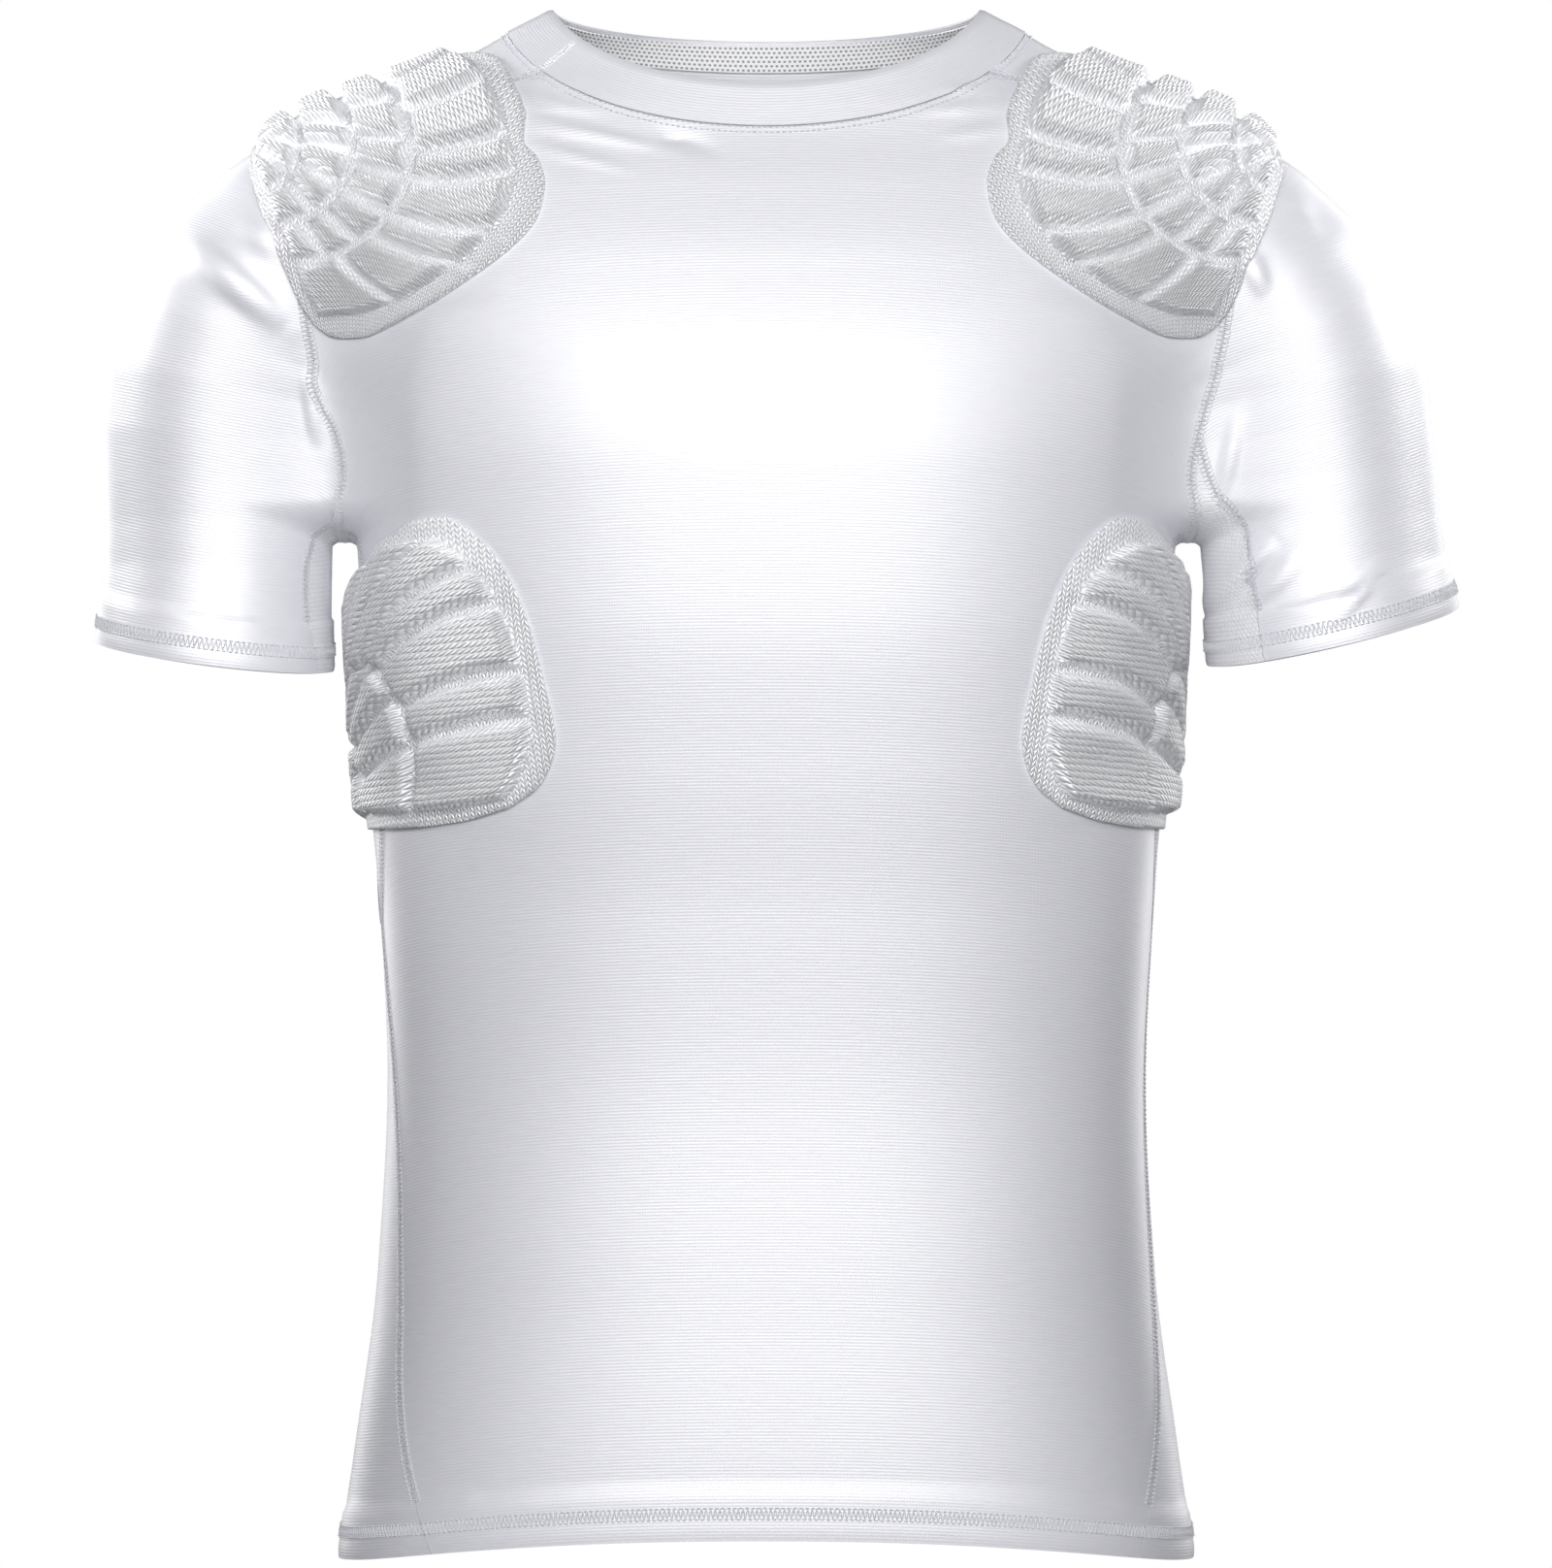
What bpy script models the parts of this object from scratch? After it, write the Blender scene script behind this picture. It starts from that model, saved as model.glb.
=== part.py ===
# A short-sleeved padded compression shirt, standing hollow as if worn.
# Metres, +Z up. The front faces -Y, and the wearer's left is at +X.
# The origin is at the middle of the neck, level with the sides of the collar seam, where the shoulders
# carry the shirt.

import math

import bmesh
import bpy
import numpy as np
from mathutils import Vector
from mathutils.bvhtree import BVHTree

# Driving dimensions
CLOTH_WALL = 0.0016
HEM_WALL = 0.0026
HEM_DEPTH = 0.022
COLLAR_WALL = 0.0024
TAPE_WALL = 0.0010
SEAM_GAP = 0.0003
PAD_LIFT = 0.0004
PAD_FLANGE = 0.0020
PAD_CELL_HEIGHT = 0.0065
PAD_BORDER = 0.0056
BODY_LENGTH = 0.688
HEM_ARCH = 0.018
SIDES = {"right": -1.0, "left": 1.0}

# Finer points of how the shapes are worked out
NORMAL_STEP = 0.0015
SETTLE_REACH = 0.012
SHARP_ANGLE = 50
ARMPIT_POINTS = 21
SEAM_POINTS = 120
PAD_BASE_STEPS = 40
SMOOTHING = 30
PAD_SMOOTHING = 24
SIGHT_STEPS = 1200
SIGHT_DEPTH = 0.17
SIGHT_FROM = {"side": 0.16, "above": 0.06}
ARMPIT_ROUNDS = 4
CUFF_ROUNDS = 3
PAD_BACK_STEP = 2
PAD_SEARCH = 0.006
PAD_SEARCH_STEPS = 6
PAD_SEARCH_ROUNDS = 3

KNIT = {"name": "white knit", "colour": (0.86, 0.87, 0.91), "roughness": 0.5}
MESH = {"name": "mesh knit", "colour": (0.80, 0.81, 0.86), "roughness": 0.7}
PAD = {"name": "pad knit", "colour": (0.84, 0.85, 0.90), "roughness": 0.7}
TAPE = {"name": "neck tape", "colour": (0.90, 0.90, 0.92), "roughness": 0.6}


def table(columns, *rows):
    """One array for each named column."""
    return {name: np.array(values, float) for name, values in zip(columns, zip(*rows))}


# Level sections of the body of the shirt: a flattened round with its own front and back depth.
TORSO = table(
    ("height", "half_width", "front", "back", "squareness"),
    (-0.760, 0.1960, 0.110, 0.118, 2.30),
    (-0.688, 0.1915, 0.110, 0.118, 2.30),
    (-0.640, 0.1850, 0.108, 0.116, 2.30),
    (-0.560, 0.1745, 0.103, 0.106, 2.30),
    (-0.470, 0.1700, 0.099, 0.097, 2.30),
    (-0.400, 0.1730, 0.102, 0.098, 2.30),
    (-0.330, 0.1790, 0.109, 0.104, 2.30),
    (-0.260, 0.1820, 0.115, 0.110, 2.30),
    (-0.200, 0.1860, 0.116, 0.112, 2.25),
    (-0.150, 0.1930, 0.110, 0.108, 2.20),
    (-0.110, 0.2000, 0.098, 0.099, 2.15),
    (-0.075, 0.2040, 0.083, 0.089, 2.10),
    (-0.050, 0.2030, 0.071, 0.080, 2.05),
    (-0.038, 0.1950, 0.066, 0.075, 2.00),
    (-0.028, 0.1740, 0.062, 0.071, 2.00),
    (-0.018, 0.1500, 0.0585, 0.067, 2.00),
    (-0.008, 0.1300, 0.0560, 0.064, 2.00),
    (0.000, 0.1160, 0.0540, 0.062, 2.00),
    (0.011, 0.0955, 0.0510, 0.059, 2.00),
    (0.030, 0.0750, 0.0480, 0.056, 2.00),
    (0.060, 0.0680, 0.0470, 0.055, 2.00),
)

# The middle line of each arm opening from the shoulder to below the cuff.
ARM = {
    "right": table(
        ("out", "fore", "height", "radius"),
        (0.150, 0.004, -0.085, 0.045),
        (0.186, 0.002, -0.092, 0.050),
        (0.209, 0.000, -0.103, 0.053),
        (0.234, 0.000, -0.128, 0.0535),
        (0.245, 0.000, -0.154, 0.0530),
        (0.248, 0.000, -0.190, 0.0515),
        (0.248, -0.002, -0.235, 0.0495),
        (0.250, -0.004, -0.275, 0.0515),
        (0.252, -0.006, -0.330, 0.0560),
    ),
    "left": table(
        ("out", "fore", "height", "radius"),
        (0.150, 0.004, -0.085, 0.045),
        (0.184, 0.002, -0.092, 0.050),
        (0.206, 0.000, -0.103, 0.053),
        (0.231, 0.000, -0.128, 0.0535),
        (0.243, 0.000, -0.154, 0.0535),
        (0.248, 0.000, -0.190, 0.0530),
        (0.252, -0.002, -0.235, 0.0530),
        (0.257, -0.004, -0.272, 0.0560),
        (0.264, -0.006, -0.330, 0.0590),
    ),
}
ARM_STATIONS = 15

# How each sleeve ends, and where the mesh strip under the arm lies, in degrees from the arm's inner side.
CUFF = {
    "right": {"out": 0.2495, "height": -0.281, "tilt": 0.13, "fore_tilt": 0.10,
              "strip_front": 26.0, "strip_back": -44.0, "notch": 0.10, "back_notch": 0.22},
    "left": {"out": 0.2560, "height": -0.272, "tilt": 0.24, "fore_tilt": 0.10,
             "strip_front": 54.0, "strip_back": -24.0, "notch": 0.30, "back_notch": 0.14},
}

# Where the arms run into the body, the cloth bridges the crease. Below the armpit they stand apart.
BRIDGE = table(
    ("height", "width"),
    (-0.300, 0.002),
    (-0.240, 0.002),
    (-0.212, 0.064),
    (-0.160, 0.056),
    (-0.110, 0.040),
    (0.000, 0.040),
)

# The largest folds: soft ridges on the front, from one point to another.
FOLDS = table(
    ("from_x", "from_z", "to_x", "to_z", "half_width", "rise"),
    (-0.262, -0.095, -0.212, -0.136, 0.0055, 0.0045),
    (-0.236, -0.086, -0.214, -0.104, 0.0050, 0.0025),
    (0.214, -0.100, 0.222, -0.122, 0.0040, 0.0025),
    (0.196, -0.262, 0.229, -0.228, 0.0045, 0.0035),
    (0.214, -0.262, 0.240, -0.236, 0.0045, 0.0025),
    (-0.108, -0.036, -0.058, -0.058, 0.0035, 0.0028),
    (-0.106, -0.050, -0.062, -0.074, 0.0035, 0.0020),
    (0.106, -0.036, 0.060, -0.050, 0.0035, 0.0025),
    (0.104, -0.048, 0.066, -0.060, 0.0035, 0.0018),
)

# The seam where a sleeve joins the body, from under the arm up the front, over the top and down the back.
# Its two ends lie in the armpit, and the seam under the arm joins them.
ARMHOLE = table(
    ("out", "fore", "height"),
    (0.1890, -0.026, -0.2260),
    (0.1905, -0.046, -0.2060),
    (0.1960, -0.058, -0.1800),
    (0.2030, -0.062, -0.1500),
    (0.2080, -0.054, -0.1100),
    (0.2120, -0.036, -0.0720),
    (0.2140, 0.000, -0.0540),
    (0.2120, 0.036, -0.0680),
    (0.2070, 0.060, -0.1080),
    (0.2010, 0.068, -0.1500),
    (0.1950, 0.060, -0.1850),
    (0.1900, 0.044, -0.2080),
    (0.1890, 0.024, -0.2260),
)
ARMHOLE_SHOULDER_ROW = 5
ARMPIT_SEARCH = {"out": (0.175, 0.225), "height": (-0.250, -0.190)}

# Side seams, in degrees round the body from its side towards the front.
GUSSET_TIP_WIDTH = 0.004
SIDE_SEAM = {
    "right": table(
        ("height", "angle"),
        (-0.700, 46.0), (-0.688, 44.0), (-0.674, 41.0), (-0.657, 37.0), (-0.634, 32.0),
        (-0.601, 27.0), (-0.568, 24.0), (-0.523, 20.5), (-0.478, 15.5), (-0.438, 11.0), (-0.400, 8.0),
    ),
    "left": table(
        ("height", "angle"),
        (-0.700, 36.0), (-0.683, 33.0), (-0.657, 27.0), (-0.634, 21.5), (-0.601, 15.0),
        (-0.568, 11.0), (-0.523, 9.0), (-0.478, 7.0), (-0.438, 4.5), (-0.400, 2.5),
    ),
}
GUSSET_EDGE = {
    "right": {"front": 17.0, "back": -13.0},
    "left": {"front": 12.0, "back": -20.0},
}
GUSSET_HEIGHTS = (-0.375, -0.345, -0.290)
GUSSET_SPREAD = 0.55

# Neck: half width and height at the side, and how far it dips at the front and back.
NECK_SEAM = {"half_width": 0.1165, "side": 0.000, "front_drop": 0.0480, "back_drop": 0.0170}
NECK_TOP = {"half_width": 0.0960, "side": 0.0110, "front_drop": 0.0385, "back_drop": 0.0070}
NECK_SIDE_ROUNDING = 0.16
SHOULDER_SEAM_OUT = 0.099
SHOULDER_SEAM_RISE = (0.0, -0.004, 0.012)
SLEEVE_SEAM_BOW = 0.006
CUFF_RADIUS = 0.052
CUFF_FORE = -0.005
TAPE_SKIP = 2
TAPE_LIFT = 0.0004
TAPE_TOP_SHARE = 0.93
TAPE_BOTTOM_SHARE = 0.36

# How many stretches each seam is divided into; the pieces on both sides share them.
SIDE_ROWS = (-0.642, -0.615, -0.575, -0.525, -0.475, -0.435, -0.400)
GUSSET_STEPS = 6
UNDERARM_STEPS = 4
NOTCH_STEPS = 2
ARMHOLE_FRONT_STEPS = 8
ARMHOLE_BACK_STEPS = 8
SHOULDER_STEPS = 4
NECK_FRONT_STEPS = 12
NECK_BACK_STEPS = 14
SLEEVE_ROWS = 9
COLLAR_ROWS = 1

# Pads are laid out like a palm leaf: rays spread from a short root, and rings cross them.
# Each band lies between two rings, as shares of the way out, and its cuts are the rays between its cells.
PAD_LINES = 42
PAD_BANDS = {
    "shoulder": (
        {"from": 0.00, "to": 0.22, "cuts": (0, 6, 12, 18, 24, 30, 36, 42)},
        {"from": 0.22, "to": 0.42, "cuts": (0, 5, 9, 13, 16, 20, 24, 28, 32, 37, 42)},
        {"from": 0.42, "to": 0.64, "cuts": (0, 3, 6, 9, 12, 15, 18, 21, 24, 27, 30, 33, 36, 39, 42)},
        {"from": 0.64, "to": 1.00, "cuts": (0, 4, 7, 9, 12, 14, 17, 20, 23, 26, 29, 32, 35, 38, 42)},
    ),
    "rib": (
        {"from": 0.00, "to": 0.32, "cuts": (0, 6, 11, 16, 22, 28, 35, 42)},
        {"from": 0.32, "to": 0.60, "cuts": (0, 4, 7, 10, 13, 17, 21, 25, 30, 36, 42)},
        {"from": 0.60, "to": 1.00, "cuts": (0, 4, 6, 9, 11, 14, 17, 20, 24, 28, 32, 37, 42)},
    ),
}
PAD_RAY_BEND = {"shoulder": -0.05, "rib": 0.14}
PAD_ROOT_BORDER_SHARE = 0.7
PAD_BORDER_LIMIT = 0.20
PAD_SHOULDER_SHARE = 0.22

# Shoulder pad outline. Front and back points are (out, height), and top points are (out, fore).
SHOULDER_PAD = {
    "root": (
        ("front", 0.2305, -0.066), ("top", 0.2300, 0.000), ("back", 0.2305, -0.070),
    ),
    "front_edge": (
        ("front", 0.2305, -0.066), ("front", 0.2240, -0.087), ("front", 0.2160, -0.106),
        ("front", 0.2070, -0.126), ("front", 0.2010, -0.134),
    ),
    "back_edge": (
        ("back", 0.2305, -0.070), ("back", 0.2240, -0.090), ("back", 0.2140, -0.112),
        ("back", 0.2040, -0.128), ("back", 0.1980, -0.134),
    ),
    "far": (
        ("front", 0.2010, -0.134), ("front", 0.1920, -0.1395), ("front", 0.1800, -0.1400),
        ("front", 0.1620, -0.1340), ("front", 0.1360, -0.1200), ("front", 0.1100, -0.1010),
        ("front", 0.1000, -0.0880), ("front", 0.0975, -0.0730), ("front", 0.1015, -0.0610),
        ("front", 0.1075, -0.0540), ("front", 0.1065, -0.0430), ("front", 0.1110, -0.0300),
        ("top", 0.1230, -0.0270), ("top", 0.1420, 0.000), ("top", 0.1260, 0.0300),
        ("back", 0.1140, -0.0360), ("back", 0.1080, -0.0520), ("back", 0.1050, -0.0700),
        ("back", 0.1080, -0.0900), ("back", 0.1200, -0.1080), ("back", 0.1420, -0.1240),
        ("back", 0.1650, -0.1360), ("back", 0.1800, -0.1405), ("back", 0.1910, -0.1400),
        ("back", 0.1980, -0.1340),
    ),
}

# Rib pad outline, in degrees round the body from its side towards the front, and height.
RIB_PAD = {
    "root": ((-8.0, -0.3585), (-17.0, -0.3585), (-26.0, -0.3580)),
    "front_edge": ((-8.0, -0.3585), (12.0, -0.3590), (30.0, -0.3580), (44.0, -0.3550), (54.0, -0.3490)),
    "back_edge": ((-26.0, -0.3580), (-34.0, -0.3565), (-40.0, -0.3535), (-44.0, -0.3490)),
    "far": (
        (54.0, -0.3490), (60.0, -0.3380), (62.5, -0.3200), (61.0, -0.2960), (58.5, -0.2690), (54.0, -0.2430),
        (48.0, -0.2270), (42.0, -0.2205), (35.0, -0.2220), (29.0, -0.2270), (23.0, -0.2310), (16.0, -0.2410),
        (9.0, -0.2520), (2.0, -0.2590), (-10.0, -0.2590), (-24.0, -0.2570), (-36.0, -0.2580), (-45.0, -0.2650),
        (-51.0, -0.2820), (-53.0, -0.3050), (-51.0, -0.3300), (-44.0, -0.3490),
    ),
}
RIB_PAD_TURN = {"right": 0.0, "left": -8.0}


def smooth_between(at, values, where):
    """A smooth line through a table's points that never overshoots them."""
    at, values = np.asarray(at, float), np.asarray(values, float)
    step = np.diff(at)
    slope = np.diff(values) / step
    rate = np.zeros(len(at))
    product = slope[:-1] * slope[1:]
    total = slope[:-1] + slope[1:]
    rate[1:-1] = np.where(product > 0, 2 * product / np.where(total == 0, 1, total), 0)
    rate[0], rate[-1] = slope[0], slope[-1]
    i = np.clip(np.searchsorted(at, where) - 1, 0, len(step) - 1)
    t = np.clip((where - at[i]) / step[i], 0, 1)
    return (values[i] * (1 + 2 * t) * (1 - t) ** 2 + values[i + 1] * t * t * (3 - 2 * t)
            + step[i] * (rate[i] * t * (1 - t) ** 2 - rate[i + 1] * t * t * (1 - t)))


def lengths_along(points):
    return np.concatenate([[0], np.cumsum(np.linalg.norm(np.diff(points, axis=0), axis=1))])


def evenly(points, steps):
    """The line again, as steps + 1 points at even distances."""
    along = lengths_along(points)
    at = np.linspace(0, along[-1], steps + 1)
    return np.stack([np.interp(at, along, points[:, k]) for k in range(3)], axis=1)


def curve_through(points, steps=SEAM_POINTS):
    points = np.asarray(points, float)
    along = lengths_along(points)
    at = np.linspace(0, along[-1], steps + 1)
    return np.stack([smooth_between(along, points[:, k], at) for k in range(3)], axis=1)


def arm_stations(side):
    rows = ARM[side]
    points = np.stack([SIDES[side] * rows["out"], rows["fore"], rows["height"]], axis=1)
    along = lengths_along(points)
    at = np.linspace(0, along[-1], ARM_STATIONS)
    centre = np.stack([smooth_between(along, points[:, k], at) for k in range(3)], axis=1)
    return centre, smooth_between(along, rows["radius"], at)


STATIONS = {side: arm_stations(side) for side in SIDES}


def torso_field(p):
    """About how far points lie outside the body of the shirt; negative inside."""
    z = p[:, 2]
    width = smooth_between(TORSO["height"], TORSO["half_width"], z)
    front = smooth_between(TORSO["height"], TORSO["front"], z)
    back = smooth_between(TORSO["height"], TORSO["back"], z)
    power = smooth_between(TORSO["height"], TORSO["squareness"], z)
    depth = np.where(p[:, 1] < 0, front, back)
    share = ((np.abs(p[:, 0]) / width) ** power + (np.abs(p[:, 1]) / depth) ** power) ** (1 / power) + 1e-9
    reach = np.hypot(p[:, 0], p[:, 1])
    return reach - reach / share


def arm_field(p, side):
    centre, radius = STATIONS[side]
    step = np.diff(centre, axis=0)
    away = p[:, None, :] - centre[None, :-1, :]
    t = np.clip((away * step).sum(2) / (step * step).sum(1), 0, 1)
    away = away - t[..., None] * step
    return (np.sqrt((away * away).sum(2)) - radius[:-1] - t * np.diff(radius)).min(1)


def fold_rise(p):
    rise = np.zeros(len(p))
    for x0, z0, x1, z1, half, height in zip(*FOLDS.values()):
        dx, dz = x1 - x0, z1 - z0
        t = np.clip(((p[:, 0] - x0) * dx + (p[:, 2] - z0) * dz) / (dx * dx + dz * dz), 0, 1)
        away = np.hypot(p[:, 0] - x0 - t * dx, p[:, 2] - z0 - t * dz)
        rise += height * np.exp(-((away / half) ** 2)) * np.sin(np.pi * np.clip(t, 0.04, 0.96))
    return np.where(p[:, 1] < 0.0, rise, 0.0)


def body_field(p):
    """Negative inside the space that the shirt encloses."""
    torso = torso_field(p)
    arm = np.where(p[:, 0] < 0, arm_field(p, "right"), arm_field(p, "left"))
    bridge = smooth_between(BRIDGE["height"], BRIDGE["width"], p[:, 2])
    near = np.maximum(bridge - np.abs(torso - arm), 0) / bridge
    return np.minimum(torso, arm) - near * near * bridge / 4 - fold_rise(p)


def slope_of(field, p, step=0.0006):
    """The field at each point, and its slope."""
    shifts = np.concatenate([np.zeros((1, 3)), step * np.eye(3)])
    values = field((p[None] + shifts[:, None]).reshape(-1, 3)).reshape(4, -1)
    return values[0], ((values[1:] - values[0]) / step).T


def settle(points, field=body_field, rounds=10):
    """Moves points onto the shirt's inner surface."""
    p = np.array(points, float).reshape(-1, 3)
    for _ in range(rounds):
        away, slope = slope_of(field, p)
        move = slope * (away / np.maximum((slope * slope).sum(1), 0.05))[:, None]
        far = np.linalg.norm(move, axis=1)
        p -= move * np.minimum(1, SETTLE_REACH / np.maximum(far, 1e-9))[:, None]
        if far.max() < 2e-6:
            break
    return p.reshape(np.shape(points))


def outward(points, field=body_field):
    p = np.array(points, float).reshape(-1, 3)
    slope = slope_of(field, p, NORMAL_STEP)[1] + slope_of(field, p, -NORMAL_STEP)[1]
    return (slope / np.linalg.norm(slope, axis=1)[:, None]).reshape(np.shape(points))


def torso_point(side, angle, height):
    """The point of a level section at an angle from the side towards the front."""
    height = np.asarray(height, float)
    turn = np.radians(np.asarray(angle, float))
    width = smooth_between(TORSO["height"], TORSO["half_width"], height)
    front = smooth_between(TORSO["height"], TORSO["front"], height)
    back = smooth_between(TORSO["height"], TORSO["back"], height)
    power = smooth_between(TORSO["height"], TORSO["squareness"], height)
    depth = np.where(turn > 0, front, back)
    x = SIDES[side] * width * np.sign(np.cos(turn)) * np.abs(np.cos(turn)) ** (2 / power)
    y = -depth * np.sign(np.sin(turn)) * np.abs(np.sin(turn)) ** (2 / power)
    return np.stack([x, y, height + 0 * turn], axis=-1)


def seen_from(face, side, out, other):
    """Where a line from the front, the back or above first meets the shirt."""
    x = SIDES[side] * out
    away, above = SIGHT_FROM["side"], SIGHT_FROM["above"]
    starts = {"front": (x, -away, other), "back": (x, away, other), "top": (x, other, above)}
    ways = {"front": (0, 1, 0), "back": (0, -1, 0), "top": (0, 0, -1)}
    start, way = np.array(starts[face], float), np.array(ways[face], float)
    along = np.linspace(0, SIGHT_DEPTH, SIGHT_STEPS)
    depth = body_field(start + along[:, None] * way)
    first = np.argmax(depth < 0) if (depth < 0).any() else np.argmin(depth)
    return start + along[first] * way


def seam_line(points, steps):
    """A seam on the shirt through some points, as steps + 1 evenly spaced points."""
    return settle(evenly(settle(curve_through(points)), steps))


def neck_line(neck, angles):
    """Points of the neckline. 0 degrees is the wearer's left side and 90 the front."""
    turn = np.radians(angles)
    swing = np.sqrt(np.sin(turn) ** 2 + NECK_SIDE_ROUNDING ** 2) - NECK_SIDE_ROUNDING
    swing /= math.sqrt(1 + NECK_SIDE_ROUNDING ** 2) - NECK_SIDE_ROUNDING
    x = neck["half_width"] * np.cos(turn)
    z = neck["side"] - np.where(np.sin(turn) > 0, neck["front_drop"], neck["back_drop"]) * swing
    width = smooth_between(TORSO["height"], TORSO["half_width"], z)
    front = smooth_between(TORSO["height"], TORSO["front"], z)
    back = smooth_between(TORSO["height"], TORSO["back"], z)
    depth = np.where(np.sin(turn) > 0, front, back)
    y = -np.sign(np.sin(turn)) * depth * np.sqrt(np.clip(1 - (x / width) ** 2, 0, 1))
    return np.stack([x, y, z], axis=-1)


def patch(low, high, start, end, rounds=SMOOTHING):
    """A sheet between four seams: low and high run the same way, start and end join them."""
    n, m = len(low), len(start)
    s, t = np.linspace(0, 1, n)[None, :, None], np.linspace(0, 1, m)[:, None, None]
    corners = ((1 - s) * (1 - t) * low[0] + s * (1 - t) * low[-1] + (1 - s) * t * high[0] + s * t * high[-1])
    sheet = ((1 - t) * low[None] + t * high[None] + (1 - s) * start[:, None] + s * end[:, None] - corners)
    sheet = settle(sheet)
    for _ in range(rounds):
        around = (sheet[:-2, 1:-1] + sheet[2:, 1:-1] + sheet[1:-1, :-2] + sheet[1:-1, 2:]) / 4
        sheet[1:-1, 1:-1] = settle(0.5 * sheet[1:-1, 1:-1] + 0.5 * around, rounds=2)
    sheet[1:-1, 1:-1] = settle(sheet[1:-1, 1:-1])
    return sheet


def part_seams(sheet, edges):
    """How far each point is drawn back from the named edges, half the gap between pieces."""
    shift = np.zeros_like(sheet)
    for edge in edges:
        border, inside = {"low": (sheet[0], sheet[1]), "high": (sheet[-1], sheet[-2]),
                          "start": (sheet[:, 0], sheet[:, 1]), "end": (sheet[:, -1], sheet[:, -2])}[edge]
        way = inside - border
        way = (SEAM_GAP / 2 + 0.00005) * way / np.linalg.norm(way, axis=-1, keepdims=True)
        place = {"low": np.s_[0], "high": np.s_[-1], "start": np.s_[:, 0], "end": np.s_[:, -1]}[edge]
        shift[place] += way
    return shift


def add_node(name, points, faces, finish):
    """One named piece. It is cut into triangles here, so that what lies on it can be fitted to them."""
    mesh = bpy.data.meshes.new(name)
    mesh.from_pydata([tuple(p) for p in points], [], faces)
    shape = bmesh.new()
    shape.from_mesh(mesh)
    bmesh.ops.triangulate(shape, faces=shape.faces)
    shape.to_mesh(mesh)
    shape.free()
    mesh.shade_smooth()
    mesh.set_sharp_from_angle(angle=math.radians(SHARP_ANGLE))
    material = bpy.data.materials.get(finish["name"]) or bpy.data.materials.new(finish["name"])
    material.use_nodes = True
    surface = material.node_tree.nodes["Principled BSDF"]
    surface.inputs["Base Color"].default_value = (*finish["colour"], 1.0)
    surface.inputs["Roughness"].default_value = finish["roughness"]
    surface.inputs["Metallic"].default_value = 0.0
    mesh.materials.append(material)
    node = bpy.data.objects.new(name, mesh)
    SHIRT.objects.link(node)
    return node


def wall_faces(rows, columns, ring=False):
    """Faces of a closed wall: an inner and an outer sheet of the same size, and the rim between them."""
    last = columns if ring else columns - 1
    size = rows * columns
    faces = []
    for r in range(rows - 1):
        for c in range(last):
            a, b = r * columns + c, r * columns + (c + 1) % columns
            d, e = a + columns, b + columns
            faces.append((a, d, e, b))
            faces.append((size + a, size + b, size + e, size + d))
    for c in range(last):
        a, b = c, (c + 1) % columns
        faces.append((a, b, size + b, size + a))
        a, b = (rows - 1) * columns + c, (rows - 1) * columns + (c + 1) % columns
        faces.append((a, size + a, size + b, b))
    if not ring:
        for r in range(rows - 1):
            a, d = r * columns, (r + 1) * columns
            faces.append((a, size + a, size + d, d))
            a, d = r * columns + columns - 1, (r + 1) * columns + columns - 1
            faces.append((a, d, size + d, size + a))
    return faces


def facing(points, faces):
    """The faces turned so that they point out of the wall."""
    volume = 0.0
    for face in faces:
        for i in range(1, len(face) - 1):
            volume += np.dot(points[face[0]], np.cross(points[face[i]], points[face[i + 1]]))
    return faces if volume > 0 else [tuple(reversed(face)) for face in faces]


def cloth_wall(name, sheet, thickness, finish, edges=(), ring=False):
    """A wall of cloth on the shirt's inner surface, drawn back from the edges that meet another piece."""
    rows, columns = sheet.shape[:2]
    inner = sheet + part_seams(sheet, edges)
    outer = inner + outward(sheet) * np.broadcast_to(thickness, sheet.shape[:2])[..., None]
    points = np.concatenate([inner.reshape(-1, 3), outer.reshape(-1, 3)])
    faces = facing(points, wall_faces(rows, columns, ring))
    return add_node(name, points, faces, finish)


def hem_thickness(sheet):
    """The folded hem takes up the lowest two rows."""
    thickness = np.full(sheet.shape[:2], CLOTH_WALL)
    thickness[:2] = HEM_WALL
    return thickness


# Seams

def halve(value_at, low, high, rounds=24):
    """Where a value that falls from low to high passes zero."""
    low, high = np.full(ARMPIT_POINTS, low), np.full(ARMPIT_POINTS, high)
    for _ in range(rounds):
        middle = (low + high) / 2
        above = value_at(middle) > 0
        low, high = np.where(above, middle, low), np.where(above, high, middle)
    return (low + high) / 2


def armpit_line(side, fore_from, fore_to):
    """The lowest line of the cloth that spans from the body to the arm."""
    fore = np.linspace(fore_from, fore_to, ARMPIT_POINTS)
    height = np.full(ARMPIT_POINTS, sum(ARMPIT_SEARCH["height"]) / 2)

    def points(out, height):
        return np.stack([SIDES[side] * out, fore, height], axis=1)

    for _ in range(ARMPIT_ROUNDS):
        out = halve(lambda x: arm_field(points(x, height), side) - torso_field(points(x, height)),
                    *ARMPIT_SEARCH["out"])
        height = halve(lambda z: body_field(points(out, z)), *ARMPIT_SEARCH["height"])
    return points(out, height)


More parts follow.
